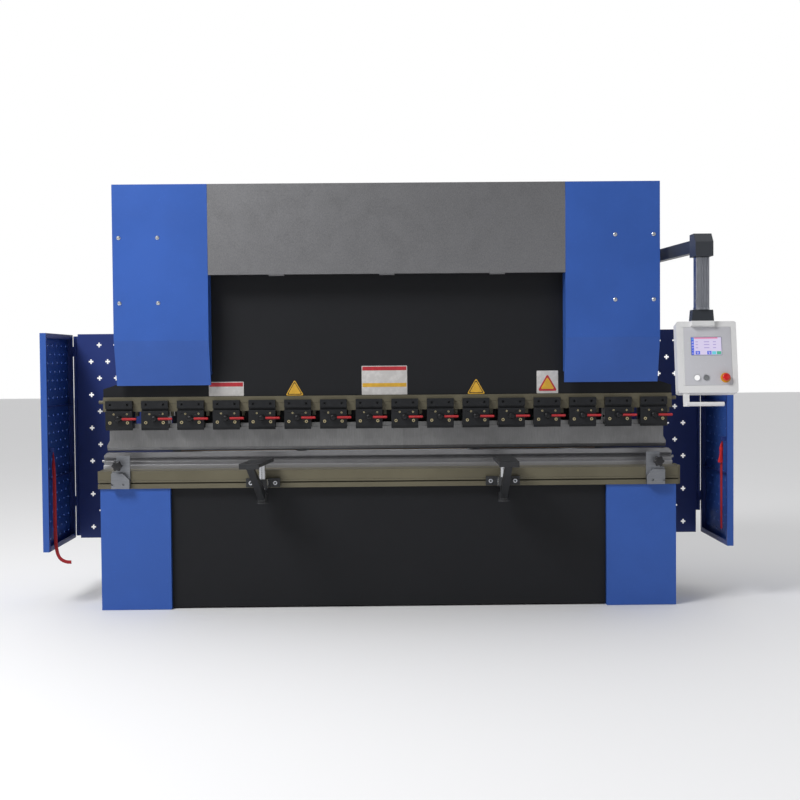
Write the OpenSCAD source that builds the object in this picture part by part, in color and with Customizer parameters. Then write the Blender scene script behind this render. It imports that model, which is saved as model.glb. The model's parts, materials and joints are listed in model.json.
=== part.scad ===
// Hydraulic press brake with a torsion shaft, quick punch clamps, a back
// gauge, sheet supports, side guards and a swinging control pendant.
// Frame: X along the bending line, +Y to the back, +Z up. The origin is on
// the floor, in the middle of the four anchor bolts.

/* [Bending line] */
// Length of the ram, the table and the tooling
bend_len = 3200; // [2600:50:4000]
// Distance of the bending plane in front of the anchor bolt centre
bend_y = 500; // [450:10:600]
// Height of the table top above the floor
table_z = 769; // [700:1:850]
// Gap left between the punch tip and the die at the lower stop
tip_gap = 7; // [1:1:40]
// Travel of the ram above its lower stop
ram_stroke = 120; // [60:5:150]

/* [Side frames] */
// Thickness of each C-shaped side frame
frame_t = 50; // [30:5:70]
// Reach of the ram and the table past the middle of each side frame
overhang = 350; // [320:10:400]
// Height of the side frames above the floor
frame_h = 2342; // [2300:1:2600]
// Distance from the anchor bolt centre to the frames' back edge
frame_rear = 600; // [550:10:800]
// Depth of the throat behind the bending plane
throat_depth = 320; // [250:10:400]
// Distance from the bending plane back to the frames' upper front edge
nose_setback = 130; // [120:5:160]
// Height of the throat's roof above the punch tip
throat_rise = 433; // [400:5:480]
// Radius of the throat's corners
throat_r = 80; // [40:5:90]
// Distance of each anchor bolt in front of and behind the origin
anchor_y = 450; // [400:10:500]
// Distance of each anchor bolt outside the middle of its frame
anchor_out = 95; // [80:5:120]
// Diameter of the anchor bolt holes
anchor_d = 26; // [18:1:32]
// Thickness of the foot plates
foot_t = 25; // [15:1:40]

/* [Table and dies] */
// Thickness of the table plate
table_t = 80; // [60:5:100]
// Height of the front rail and of the table's head
head_h = 97; // [80:1:120]
// Reach of the front rail in front of the bending plane
rail_reach = 200; // [160:5:240]
// Opening of the rail's T-slot
slot_w = 8; // [6:1:14]
// Height of the die shoe
shoe_h = 22; // [15:1:40]
// Height of the multi-V die block
die_h = 69; // [60:1:120]
// Depth of the die block from front to back
die_d = 85; // [70:5:120]

/* [Ram and punches] */
// Thickness of the ram plate
ram_t = 70; // [50:5:90]
// Height of the punches
punch_h = 154; // [120:1:180]
// Thickness of the punch body
punch_t = 26; // [20:1:32]
// Thickness of the punch tang
tang_t = 14; // [10:1:18]
// Height of the punch tang
tang_h = 24; // [18:1:30]
// Length of one long punch segment
segment_len = 835; // [415:5:835]
// Length of the short punch segment at the right end
short_len = 180; // [100:5:200]
// Height of the clamp neck between punch top and punch rail
neck_h = 69; // [55:1:90]
// Height of the punch rail under the ram
punch_rail_h = 82; // [60:1:110]
// Width of one quick clamp
clamp_w = 150; // [110:2:154]
// Sideways offset of the clamp row and the punches
tool_shift = -7; // [-10:1:10]

/* [Cylinders] */
// Bore of each cylinder
bore_d = 180; // [140:5:200]
// Diameter of each piston rod
rod_d = 150; // [100:5:160]
// Outer diameter of each cylinder barrel
barrel_d = 250; // [230:5:260]

/* [Covers] */
// Thickness of the sheet metal covers
sheet_t = 3; // [2:0.5:5]
// Width of each upper cover
cover_w = 523; // [480:1:560]
// Reach of an upper cover past the middle of its side frame
cover_out = 260; // [240:5:290]
// Reach of the upper covers in front of the bending plane
cover_reach = 160; // [150:5:200]
// Height of the fold at the foot of the upper covers above the punch tip
cover_fold = 619; // [560:1:680]
// Height of the stainless fascia
fascia_h = 499; // [420:1:560]
// Width of each leg cover
leg_w = 385; // [330:5:400]
// Reach of the leg covers in front of the bending plane
leg_reach = 190; // [170:5:200]

/* [Guards] */
// Length of each side door from its hinge to its front edge
door_len = 600; // [450:10:700]
// Height of each side door
door_h = 1223; // [900:1:1400]
// Thickness of each side door
door_t = 34; // [24:1:44]
// Height of the doors' lower edge above the floor
guard_z = 312; // [200:1:400]
// Gap between the ram end and the inside of a door
door_gap = 296; // [280:1:400]

/* [Pendant] */
// Width of the control box
panel_w = 308; // [260:2:360]
// Height of the control box
panel_h = 376; // [320:2:420]
// Depth of the control box
panel_d = 80; // [60:2:110]
// Backward tilt of the control box
panel_tilt = 11; // [0:1:20]
// Turn of the control box towards the operator
panel_turn = 3; // [0:1:10]
// Length of the swing arm from its pivot to the drop tube
arm_len = 780; // [600:10:900]
// Outward angle of the swing arm
arm_angle = 6; // [6:1:30]
// Height of the swing arm's lower face
arm_z = 1919; // [1850:1:2000]

/* [Sheet supports] */
// Distance of the left support from the middle
support_left_x = 690; // [400:10:900]
// Distance of the right support from the middle
support_right_x = 628; // [400:10:900]
// Length of a support's top plate
support_len = 400; // [300:10:500]
// Turn of the left support's arm to the left
support_left_turn = 6; // [0:1:45]
// Turn of the right support's arm to the right
support_right_turn = 0; // [0:1:45]

/* [Back gauge] */
// Travel rail length of the back gauge
gauge_rail_len = 780; // [760:10:900]
// Distance of each gauge finger from the middle
finger_x = 500; // [400:10:700]

/* [Hidden] */
$fn = 48;

// Running clearance between pieces that slide, turn or rest on each other
fit = 0.3;
// Small overlap that keeps a cut from leaving a skin
cut = 1;

// Places along the bending line
half_len = bend_len / 2;
by = -bend_y;
frame_x = half_len - overhang;
frame_in = frame_x - frame_t / 2;
frame_out = frame_x + frame_t / 2;
clamp_n = 16;
clamp_pitch = bend_len / clamp_n;
function clamp_x(i) = (i + 0.5 - clamp_n / 2) * clamp_pitch + tool_shift;

// Heights of the tooling stack
die_z = table_z + shoe_h;
die_top = die_z + die_h;
tip_z = die_top + tip_gap;
punch_top = tip_z + punch_h;
shoulder_z = punch_top - tang_h;
punch_rail_z = punch_top + neck_h;
ram_z = punch_rail_z + punch_rail_h;

// Depths
table_front = by - table_t / 2;
table_back = by + table_t / 2;
rail_front = by - rail_reach;
rail_z = table_z - head_h;
ram_front = by - ram_t / 2;
ram_back = by + ram_t / 2;
nose_y = by + nose_setback;
throat_y = by + throat_depth;
throat_top = tip_z + throat_rise;
low_nose_z = table_z - 29;
cover_front = by - cover_reach;

// Ram outline
ram_chamfer = 100;
ram_end_h = 46;
ram_end_rise = 32;
ram_shoulder_z = ram_z + 358;
ram_crown_half = frame_x - 165;
ram_crown_z = ram_z + 778;

// Cylinders
flange_h = 60;
flange_w = 280;
gland_h = 90;
barrel_z = ram_shoulder_z + 170;
barrel_top = barrel_z + 570;
port_z = barrel_z + 400;
port_x = frame_x - 90;
port_face = by + barrel_d / 2 - 10;
pipe_y = -290;
pipe_d = 24;

// Quick clamps
clamp_reach = 75;
clamp_plate_t = 20;
clamp_back = 45;
clamp_low = tip_z + 120;
clamp_high = punch_rail_z + 62;
clamp_split = punch_rail_z + 5;
recess_h = 14;
lever_z = tip_z + 184;
keeper_t = 6;
keeper_x = frame_x - 65;
hub_d = 34;
stem_d = 16;

// Torsion shaft
rocker_r = 250;
rocker_rest = 12;
shaft_d = 110;
shaft_y = -170;
shaft_z = ram_z + 278;
rocker_x = frame_x - 250;
rocker_t = 44;
rocker_pin_d = 30;
rocker_pin_y = shaft_y - rocker_r * cos(rocker_rest);
rocker_pin_z = shaft_z - rocker_r * sin(rocker_rest);
cheek_t = 15;
slot_play = 2.5;

// Covers
cover_x1 = frame_x + cover_out;
cover_x0 = cover_x1 - cover_w;
cover_top = frame_h + sheet_t;
fold_z = tip_z + cover_fold;
cover_low = ram_z + 65;
cover_foot_y = by - 90;
leg_x1 = half_len - 10;
leg_x0 = leg_x1 - leg_w;
table_half = leg_x1 - sheet_t;

// Guards
door_in = half_len + door_gap;
hinge_y = -8;
hinge_x = door_in - 11;
hinge_pin_d = 8;
knuckle_d = 18;
knuckle_h = 60;
wing_post_w = 38;
wing_post_x = door_in - 29 - wing_post_w;
wing_front = -15;
wing_t = 35;
wing_h = door_h + 9;
wing_z = guard_z - 4;

// Back gauge
gauge_w = 100;
gauge_z = table_z - 69;
gauge_end_t = 20;
screw_d = 25;
guide_d = 30;
screw_x = frame_in - 75;
guide_x = frame_in - 30;
screw_z = gauge_z + 42;
carriage_len = 80;
carriage_y = -250;
beam_size = 80;
beam_y = carriage_y + 10;
beam_z = gauge_z + 90;
finger_tip_y = by + 120;

// Sheet supports
support_block_w = 186;
support_block_h = 49;
support_block_t = 25;
support_z = rail_z + 25;
support_post_y = rail_front - 62;
support_post_d = 40;
support_top = table_z + 67;
support_base = table_z - 169;
arm_plate_w = 105;
arm_plate_t = 20;

// Die end plates
end_plate_x = half_len - 180;
end_plate_w = 100;
end_tab_w = 75;
end_plate_t = 12;
end_block_t = 35;
knob_x = half_len - 118;
knob_z = table_z + 34;
knob_d = 60;
knob_screw_d = 16;

// Pendant
pivot_x = cover_x1 + 43;
pivot_y = -300;
arm_h = 66;
arm_w = 40;
elbow_w = 92;
tube_x = pivot_x + arm_len * sin(arm_angle);
tube_y = pivot_y - arm_len * cos(arm_angle);
elbow_z = arm_z - 28;
elbow_h = 119;
tube_z = arm_z - 303;
neck_top_w = 106;
neck_low_w = 120;
neck_piece_h = 57;
panel_z = tube_z - 244;
panel_x = tube_x + 20;
face_w = 253;
face_h = 309;
button_v = -110;

// Straps: points on the left one's route, mirrored for the right one
strap_t = 4;
strap_w = 20;
strap_w_right = 14;
strap_y = -546;
strap_left_route = [[-1884, 868], [-1884, 850], [-1883, 815], [-1882, 770],
    [-1880, 720], [-1880, 670], [-1880, 620], [-1880, 570], [-1880, 520],
    [-1880, 470], [-1879, 420], [-1878, 370], [-1875, 330], [-1868, 295],
    [-1856, 270], [-1838, 255], [-1814, 247], [-1792, 246]];
strap_right_route = [[1884, 898], [1884, 880], [1883, 845], [1882, 800],
    [1880, 750], [1880, 700], [1880, 650], [1880, 600], [1880, 550],
    [1880, 500], [1880, 450], [1880, 400]];

// Draws its children and their mirror image on the left
module both() {
    children();
    mirror([1, 0, 0]) children();
}

// A box from its lowest corner to its highest corner
module slab(a, b) {
    translate(a) cube(b - a);
}

// A plate cut to a side view: 2D x is the row's Y, 2D y is the row's Z
module side_plate(x0, x1) {
    translate([x0, 0, 0]) rotate([90, 0, 90]) linear_extrude(x1 - x0) children();
}

// A plate cut to a front view: 2D x is the row's X, 2D y is the row's Z
module front_plate(y0, y1) {
    translate([0, y1, 0]) rotate([90, 0, 0]) linear_extrude(y1 - y0) children();
}

// A rod along X, or along Y, between two places
module rod_x(x0, x1, y, z, d) {
    translate([x0, y, z]) rotate([0, 90, 0]) cylinder(d = d, h = x1 - x0);
}

module rod_y(x, y0, y1, z, d) {
    translate([x, y0, z]) rotate([-90, 0, 0]) cylinder(d = d, h = y1 - y0);
}

module rod_z(x, y, z0, z1, d) {
    translate([x, y, z0]) cylinder(d = d, h = z1 - z0);
}

// A rectangle with round corners, from one corner to the other
module round_rect(a, b, r) {
    translate([a.x + r, a.y]) square([b.x - a.x - 2 * r, b.y - a.y]);
    translate([a.x, a.y + r]) square([b.x - a.x, b.y - a.y - 2 * r]);
    for (x = [a.x + r, b.x - r], y = [a.y + r, b.y - r]) translate([x, y]) circle(r);
}

// ---- Fixed frame ----

module frame_outline() {
    difference() {
        translate([table_back, foot_t])
            square([frame_rear - table_back, frame_h - foot_t]);
        round_rect([by - 2 * throat_r, low_nose_z], [throat_y, throat_top], throat_r);
        translate([by - cut, throat_top - throat_r])
            square([nose_setback + cut, frame_h]);
    }
}

module foot_plates() {
    for (s = [-1, 1]) difference() {
        slab([frame_in, s * anchor_y - 60, 0],
            [frame_x + anchor_out + 45, s * anchor_y + 60, foot_t]);
        translate([frame_x + anchor_out, s * anchor_y, -cut])
            cylinder(d = anchor_d, h = foot_t + 2 * cut);
    }
}

module main_frame() {
    color("#20242c") {
        both() {
            side_plate(frame_in, frame_out) frame_outline();
            foot_plates();
        }
        slab([-frame_in, frame_rear - 40, 100], [frame_in, frame_rear, 500]);
        slab([-frame_in, frame_rear - 40, 1500], [frame_in, frame_rear, 1900]);
        slab([-frame_in, nose_y + 10, frame_h - 52], [frame_in, nose_y + 70, frame_h]);
        slab([-frame_in, table_back + 350, 200], [frame_in, table_back + 390, 600]);
    }
}

module worktable() {
    color("#1c1f24") {
        slab([-table_half, table_front, 60], [table_half, table_back, rail_z + cut]);
        slab([-half_len, table_front, rail_z], [half_len, table_back, table_z]);
    }
}

module front_rail() {
    color("#6b665a") difference() {
        union() {
            slab([-half_len, rail_front, rail_z], [half_len, table_front, table_z]);
            slab([half_len, rail_front + 10, rail_z],
                [half_len + 12, table_front - 20, table_z + 6]);
        }
        slab([-half_len - cut, rail_front - cut, support_z + 5 - slot_w / 2],
            [half_len, rail_front + 12, support_z + 5 + slot_w / 2]);
        slab([-half_len - cut, rail_front + 12 - fit, support_z + 5 - slot_w],
            [half_len, rail_front + 22, support_z + 5 + slot_w]);
        slab([-half_len - cut, rail_front - cut, support_z + 18],
            [half_len, rail_front + 1, support_z + 20]);
    }
}

// A V opening cut along the die, pointing along its own +Y
module die_vee(w, a) {
    rotate(a) polygon([[-w / 2, 0], [0, -w * 0.6], [w / 2, 0], [w / 2, 2], [-w / 2, 2]]);
}

module die_outline() {
    difference() {
        translate([by - die_d / 2, die_z + fit]) square([die_d, die_h - fit]);
        translate([by, die_top]) die_vee(24, 0);
        translate([by - die_d / 2, die_top - 37]) die_vee(24, 90);
        translate([by + die_d / 2, die_top - 37]) die_vee(32, -90);
        translate([by, die_z + fit]) die_vee(16, 180);
    }
}

module die_set() {
    color("#8a8d90") {
        slab([-half_len, by - 55, table_z], [half_len, by + 55, die_z]);
        intersection() {
            side_plate(-half_len, half_len) die_outline();
            front_plate(by - die_d, by + die_d) polygon([[-half_len, die_z],
                [half_len, die_z], [half_len, die_top - 16], [half_len - 16, die_top],
                [16 - half_len, die_top], [-half_len, die_top - 16]]);
        }
        both() rod_x(half_len, half_len + 14, by - 20, die_z + 21, 15);
    }
}

module die_end_plates() {
    color("#7d8085") both() difference() {
        union() {
            front_plate(rail_front - end_plate_t, rail_front) polygon([
                [end_plate_x, rail_z + 3], [end_plate_x + end_plate_w, rail_z + 3],
                [end_plate_x + end_plate_w, table_z], [end_plate_x + end_tab_w, table_z],
                [end_plate_x + end_tab_w, die_top - 6], [end_plate_x, die_top - 6]]);
            front_plate(rail_front - end_block_t, rail_front) polygon([
                [end_plate_x, rail_z + 3], [end_plate_x + end_plate_w, rail_z + 3],
                [end_plate_x + end_plate_w, table_z - 10],
                [end_plate_x + 35, table_z - 10], [end_plate_x, table_z - 45]]);
        }
        rod_y(knob_x, rail_front - 40, rail_front + 1, knob_z, knob_screw_d + 0.2);
        for (x = [32, 92]) rod_y(end_plate_x + x, rail_front - 40,
            rail_front - end_block_t + 8, rail_z + 27, 14);
    }
}

// ---- Covers ----

// The side sheet of an upper cover: its back steps clear of the rising
// clamps at its foot, and clear of the rising ram end above that
module cover_side(back_high) {
    clamp_pass_z = clamp_high + ram_stroke + 25;
    ram_pass_z = ram_z + ram_end_h + ram_end_rise + ram_stroke + 30;
    polygon([[cover_front, cover_top], [cover_front, fold_z], [cover_foot_y, cover_low],
        [cover_foot_y + 8, cover_low], [cover_foot_y + 8, clamp_pass_z],
        [ram_front - 10, clamp_pass_z], [ram_front - 10, ram_pass_z],
        [back_high, ram_pass_z], [back_high, cover_top]]);
}

// The bent front sheet of an upper cover, seen from the side
module cover_front_sheet() {
    polygon([[cover_front, cover_top], [cover_front, fold_z], [cover_foot_y, cover_low],
        [cover_foot_y + sheet_t, cover_low], [cover_front + sheet_t, fold_z],
        [cover_front + sheet_t, cover_top]]);
}

module cylinder_covers() {
    color("#3d5aa8") both() {
        side_plate(cover_x0, cover_x1) cover_front_sheet();
        side_plate(cover_x0, cover_x0 + sheet_t) cover_side(ram_front - 10);
        side_plate(cover_x1 - sheet_t, cover_x1) cover_side(nose_y - 10);
        slab([cover_x0, cover_front, frame_h], [cover_x1, ram_front - 10, cover_top]);
        slab([cover_x0 + 50, ram_front - 10 - cut, frame_h], [cover_x1, nose_y + 70, cover_top]);
    }
}

module cover_screws() {
    color("#b9bcc0") both()
        for (x = [cover_x1 - 35, cover_x1 - 248], z = [cover_top - 293, cover_top - 652])
            translate([x, cover_front, z]) rotate([90, 0, 0])
                rotate_extrude() polygon([[0, 0], [11, 0], [11, 2], [7, 5], [0, 6]]);
}

module fascia_panel() {
    w = cover_x0 - 1;
    color("#8d8f92") {
        slab([-w, cover_front, cover_top - fascia_h], [w, cover_front + sheet_t, cover_top]);
        slab([-w, cover_front, frame_h], [w, nose_y + 40, cover_top]);
        slab([-w, cover_front, cover_top - fascia_h],
            [w, cover_front + 40, cover_top - fascia_h + sheet_t]);
        for (x = [-610, 0, 610])
            slab([x - 42, cover_front + 6, cover_top - fascia_h - 7],
                [x + 42, cover_front + 30, cover_top - fascia_h + cut]);
    }
}

module leg_covers() {
    color("#3d5aa8") both() {
        slab([leg_x0, by - leg_reach, 0], [leg_x1, by - leg_reach + sheet_t, rail_z]);
        slab([leg_x0, by - leg_reach, 0], [leg_x0 + sheet_t, table_front, rail_z]);
        slab([leg_x1 - sheet_t, by - leg_reach, 0], [leg_x1, table_back, rail_z]);
    }
}

module apron_panel() {
    w = leg_x0 - 1;
    y = by - leg_reach + 30;
    color("#202226") difference() {
        slab([-w, y, 8], [w, table_front, rail_z]);
        slab([-w + sheet_t, y + sheet_t, 8 + sheet_t],
            [w - sheet_t, table_front + cut, rail_z - sheet_t]);
    }
}

// ---- Hydraulics ----

module oil_tank() {
    color("#34383f") {
        difference() {
            slab([-frame_in, -340, 1640], [frame_in, 260, 2000]);
            slab([-frame_in + 5, -335, 1645], [frame_in - 5, 255, 1992]);
        }
        rod_z(-900, 120, 2000, 2050, 90);
        rod_z(-700, -100, 2000, 2030, 60);
    }
}

module cylinder_barrels() {
    color("#2b3038") both() difference() {
        union() {
            slab([frame_x - flange_w / 2, by - flange_w / 2, barrel_z],
                [frame_x + flange_w / 2, nose_y, barrel_z + flange_h]);
            rod_z(frame_x, by, barrel_z + flange_h - cut, barrel_top, barrel_d);
            slab([port_x - 30, by, port_z - 30], [port_x + 30, port_face, port_z + 30]);
        }
        rod_z(frame_x, by, barrel_z - cut, barrel_z + gland_h + cut, rod_d + 2 * fit);
        rod_z(frame_x, by, barrel_z + gland_h, barrel_top - 30, bore_d);
    }
}

// A pressure pipe from the manifold to a cylinder's port
module pressure_pipe() {
    rod_x(-80, port_x, pipe_y, port_z, pipe_d);
    translate([port_x, pipe_y, port_z]) sphere(d = pipe_d);
    rod_y(port_x, port_face + fit, pipe_y, port_z, pipe_d);
    rod_y(port_x, port_face + fit, port_face + 26, port_z, 38);
}

module power_pack() {
    color("#454a52") {
        slab([-160, -330, port_z - 70], [120, -220, port_z + 60]);
        slab([-150, -320, 2000], [110, -230, port_z - 70 + cut]);
        rod_x(250, 640, 0, 2150, 250);
        rod_x(640, 690, 0, 2150, 200);
        rod_x(180, 252, 0, 2150, 190);
        rod_x(60, 182, 0, 2150, 120);
        slab([300, -110, 2000], [580, 110, 2040]);
        rod_z(95, 0, 2000, 2100, 40);
        pressure_pipe();
        mirror([1, 0, 0]) pressure_pipe();
        for (x = [-120, -50, 20]) rod_z(x, -275, port_z + 60 - cut, port_z + 130, 42);
    }
}

// ---- Guides, gauge rails and bearings on the frame ----

guide_rail_w = 40;
guide_rail_t = 30;

module guide_blocks() {
    color("#5b5f66") both() {
        difference() {
            slab([frame_x - 50, ram_back + fit, throat_top + 10],
                [frame_x + 50, nose_y, ram_shoulder_z + 10]);
            slab([frame_x - guide_rail_w / 2 - fit, ram_back, throat_top],
                [frame_x + guide_rail_w / 2 + fit, ram_back + guide_rail_t + fit,
                ram_shoulder_z + 20]);
        }
        difference() {
            slab([frame_in - 60, shaft_y - 90, shaft_z - 90], [frame_in, shaft_y + 90, shaft_z + 90]);
            rod_x(frame_in - 61, frame_in + 1, shaft_y, shaft_z, shaft_d + 0.12);
        }
    }
}

module gauge_rails() {
    y1 = -gauge_rail_len / 2;
    y2 = gauge_rail_len / 2;
    color("#6d7178") both() {
        slab([frame_in - gauge_w, y1, gauge_z], [frame_in, y2, gauge_z + 12]);
        for (y = [y1, y2 - gauge_end_t])
            slab([frame_in - gauge_w, y, gauge_z], [frame_in, y + gauge_end_t, gauge_z + 72]);
        rod_y(screw_x, y1 + 5, y2, screw_z, screw_d);
        rod_y(guide_x, y1 + 5, y2 - 5, screw_z, guide_d);
        slab([screw_x - 30, y2, screw_z - 30], [screw_x + 30, y2 + 110, screw_z + 30]);
    }
}

module gauge_beam() {
    color("#a9692c") {
        slab([-frame_in + 10, beam_y, beam_z], [frame_in - 10, beam_y + beam_size - 20,
            beam_z + beam_size]);
        both() difference() {
            slab([frame_in - gauge_w + 4, carriage_y, gauge_z + 12 + fit],
                [frame_in - 10, carriage_y + carriage_len, beam_z]);
            rod_y(screw_x, carriage_y - cut, carriage_y + carriage_len + cut, screw_z,
                screw_d + 0.1);
            rod_y(guide_x, carriage_y - cut, carriage_y + carriage_len + cut, screw_z,
                guide_d + 0.1);
        }
    }
}

// A stop finger that straddles the gauge beam and reaches to the die
module gauge_finger(x) {
    y0 = beam_y - fit;
    y1 = beam_y + beam_size - 20 + fit;
    z0 = beam_z + beam_size + fit;
    color("#9a9da1") {
        slab([x - 35, y0 - 14, z0], [x + 35, y1 + 14, z0 + 14]);
        slab([x - 35, y0 - 14, beam_z + 20], [x + 35, y0, z0 + cut]);
        slab([x - 35, y1, beam_z + 20], [x + 35, y1 + 14, z0 + cut]);
        slab([x - 18, finger_tip_y + 10, z0 + 4], [x + 18, y0, z0 + 30]);
        slab([x - 30, finger_tip_y, z0 - 2], [x + 30, finger_tip_y + 14, z0 + 40]);
    }
}

module gauge_finger_left() {
    gauge_finger(-finger_x);
}

module gauge_finger_right() {
    gauge_finger(finger_x);
}

module torsion_shaft() {
    color("#5d6269") {
        rod_x(-frame_in + 2, frame_in - 2, shaft_y, shaft_z, shaft_d);
        both() {
            side_plate(rocker_x - rocker_t / 2, rocker_x + rocker_t / 2) rocker_outline();
            rod_x(rocker_x - rocker_t / 2 - cheek_t - 8, rocker_x + rocker_t / 2 + cheek_t + 8,
                rocker_pin_y, rocker_pin_z, rocker_pin_d);
        }
    }
}

// The rocker, from the shaft's boss down to the pin's eye
module rocker_outline() {
    translate([shaft_y, shaft_z]) circle(d = shaft_d + 50);
    translate([rocker_pin_y, rocker_pin_z]) circle(d = rocker_pin_d + 34);
    translate([shaft_y, shaft_z]) rotate(rocker_rest) polygon([[0, -70], [0, 70],
        [-rocker_r, 28], [-rocker_r, -28]]);
}

// ---- Guards ----

// A plus-shaped hole of the rear guard
module plus_hole() {
    square([28, 9], center = true);
    square([9, 28], center = true);
}

module wing_outline() {
    w = wing_post_x - frame_out;
    cols = floor((w - 60) / 100);
    rows = floor((wing_h - 60) / 100);
    difference() {
        translate([frame_out, wing_z]) square([w, wing_h]);
        for (r = [0:rows], c = [0:cols])
            translate([wing_post_x - 40 - c * 100 - (r % 2) * 50, wing_z + 66 + r * 100])
                plus_hole();
    }
}

module guard_wings() {
    w = wing_post_x - frame_out;
    color("#232d5c") both() {
        front_plate(wing_front, wing_front + sheet_t) wing_outline();
        for (z = [wing_z, wing_z + wing_h / 3, wing_z + wing_h * 2 / 3, wing_z + wing_h - 8])
            slab([frame_out, wing_front + sheet_t - 0.5, z], [wing_post_x, wing_front + wing_t, z + 8]);
        slab([frame_out, wing_front + sheet_t - 0.5, wing_z],
            [frame_out + 5, wing_front + wing_t, wing_z + wing_h]);
        slab([wing_post_x, wing_front, wing_z],
            [wing_post_x + wing_post_w, wing_front + wing_t, wing_z + wing_h]);
        for (z = [guard_z + 130, guard_z + door_h - 190]) {
            rod_z(hinge_x, hinge_y, z, z + knuckle_h, knuckle_d);
            slab([wing_post_x + wing_post_w - cut, hinge_y - 4, z],
                [hinge_x - 4, hinge_y + 4, z + knuckle_h]);
            rod_z(hinge_x, hinge_y, z + knuckle_h - cut, z + 2 * knuckle_h, hinge_pin_d);
        }
    }
}

// A side door seen from the side: 2D x is the row's Y, 2D y is the row's Z
module door_sheet() {
    rows = floor((door_h - 110) / 50);
    difference() {
        translate([wing_front - door_len, guard_z]) square([door_len, door_h]);
        for (r = [0:rows], c = [0:floor(door_len / 100) - 1 - r % 2])
            translate([wing_front - door_len + 50 + c * 100 + (r % 2) * 50, guard_z + 56 + r * 50])
                circle(d = 12);
    }
}

module door_pan() {
    y0 = wing_front - door_len;
    side_plate(door_in + door_t - sheet_t, door_in + door_t) door_sheet();
    difference() {
        slab([door_in, y0, guard_z], [door_in + door_t - sheet_t + 0.5, wing_front,
            guard_z + door_h]);
        slab([door_in + sheet_t, y0 + sheet_t, guard_z + sheet_t],
            [door_in + door_t, wing_front - sheet_t, guard_z + door_h - sheet_t]);
        slab([door_in - cut, y0 + 28, guard_z + 28],
            [door_in + door_t, wing_front - 28, guard_z + door_h - 28]);
    }
    for (z = [guard_z + door_h / 3, guard_z + door_h * 2 / 3])
        slab([door_in + 14, y0 + 2, z - 12],
            [door_in + door_t - sheet_t + 0.5, wing_front - 2, z - 6]);
}

// Hinge knuckles: each sits on the wing's knuckle and turns on its pin
module door_knuckles() {
    for (z = [guard_z + 130, guard_z + door_h - 190]) difference() {
        union() {
            rod_z(hinge_x, hinge_y, z + knuckle_h + fit, z + 2 * knuckle_h, knuckle_d);
            slab([hinge_x, wing_front - 1.5, z + knuckle_h + fit],
                [door_in + 8, hinge_y, z + 2 * knuckle_h]);
        }
        rod_z(hinge_x, hinge_y, z, z + 2 * knuckle_h + cut, hinge_pin_d + 0.1);
    }
}

// The clip that a strap hangs from, inside the door's front edge
module strap_clip(z) {
    slab([door_in - 20, strap_y - 12, z],
        [door_in + door_t - sheet_t + 0.5, strap_y + 12, z + 24]);
}

module door_right() {
    color("#31459c") {
        door_pan();
        door_knuckles();
        strap_clip(strap_right_route[0].y);
    }
}

module door_left() {
    color("#31459c") mirror([1, 0, 0]) {
        door_pan();
        door_knuckles();
        strap_clip(strap_left_route[0].y);
    }
}

// Direction of the route at point i, in the X-Z plane
function strap_dir(p, i) =
    let(a = p[max(i - 1, 0)], b = p[min(i + 1, len(p) - 1)]) (b - a) / norm(b - a);

// One ring of the strap's flat section round point i of the route
function strap_ring(p, i, w) =
    let(d = strap_dir(p, i))
    [for (a = [0:45:315]) [p[i].x - d.y * cos(a) * strap_t / 2,
        strap_y + sin(a) * w / 2, p[i].y + d.x * cos(a) * strap_t / 2]];

// A flat strap swept along a route of X-Z points at the strap's own depth
module strap(p, w) {
    n = len(p);
    rings = [for (i = [0:n - 1]) each strap_ring(p, i, w)];
    sides = [for (i = [0:n - 2], k = [0:7])
        [8 * i + k, 8 * i + (k + 1) % 8, 8 * i + 8 + (k + 1) % 8, 8 * i + 8 + k]];
    ends = [[for (k = [7:-1:0]) k], [for (k = [0:7]) 8 * (n - 1) + k]];
    polyhedron(points = rings, faces = concat(sides, ends));
}

module strap_left() {
    color("#b01e2a") strap(strap_left_route, strap_w);
}

module strap_right() {
    color("#b01e2a") strap(strap_right_route, strap_w_right);
}

// ---- Cabinet ----

cabinet_x0 = 560;
cabinet_x1 = 1160;
cabinet_z0 = 1000;
cabinet_z1 = 1850;
cabinet_d = 260;
cabinet_wall = 4;
cabinet_door_t = 22;

module cabinet() {
    y1 = frame_rear + cabinet_d;
    color("#b4b6b8") {
        difference() {
            slab([cabinet_x0, frame_rear, cabinet_z0], [cabinet_x1, y1, cabinet_z1]);
            slab([cabinet_x0 + cabinet_wall, frame_rear + cabinet_wall, cabinet_z0 + cabinet_wall],
                [cabinet_x1 - cabinet_wall, y1 + cut, cabinet_z1 - cabinet_wall]);
        }
        for (z = [cabinet_z0 + 120, cabinet_z0 + 360, cabinet_z0 + 600])
            slab([cabinet_x0 + 60, frame_rear + cabinet_wall - 0.5, z],
                [cabinet_x1 - 60, frame_rear + 70, z + 110]);
        slab([cabinet_x1 - cut, y1 - 30, cabinet_z0 + 100],
            [cabinet_x1 + 16, y1 - 14, cabinet_z0 + 140]);
        rod_z(cabinet_x1 + 10, y1 + 8, cabinet_z0 + 100, cabinet_z0 + 140, 16);
        slab([cabinet_x1 + 4, y1 - 15, cabinet_z0 + 100], [cabinet_x1 + 16, y1 + 8, cabinet_z0 + 140]);
        rod_z(cabinet_x1 + 10, y1 + 8, cabinet_z0 + 139, cabinet_z0 + 180, 8);
        slab([cabinet_x1 - cut, y1 - 30, cabinet_z1 - 180],
            [cabinet_x1 + 16, y1 - 14, cabinet_z1 - 140]);
        rod_z(cabinet_x1 + 10, y1 + 8, cabinet_z1 - 180, cabinet_z1 - 140, 16);
        slab([cabinet_x1 + 4, y1 - 15, cabinet_z1 - 180], [cabinet_x1 + 16, y1 + 8, cabinet_z1 - 140]);
        rod_z(cabinet_x1 + 10, y1 + 8, cabinet_z1 - 141, cabinet_z1 - 100, 8);
    }
}

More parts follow.
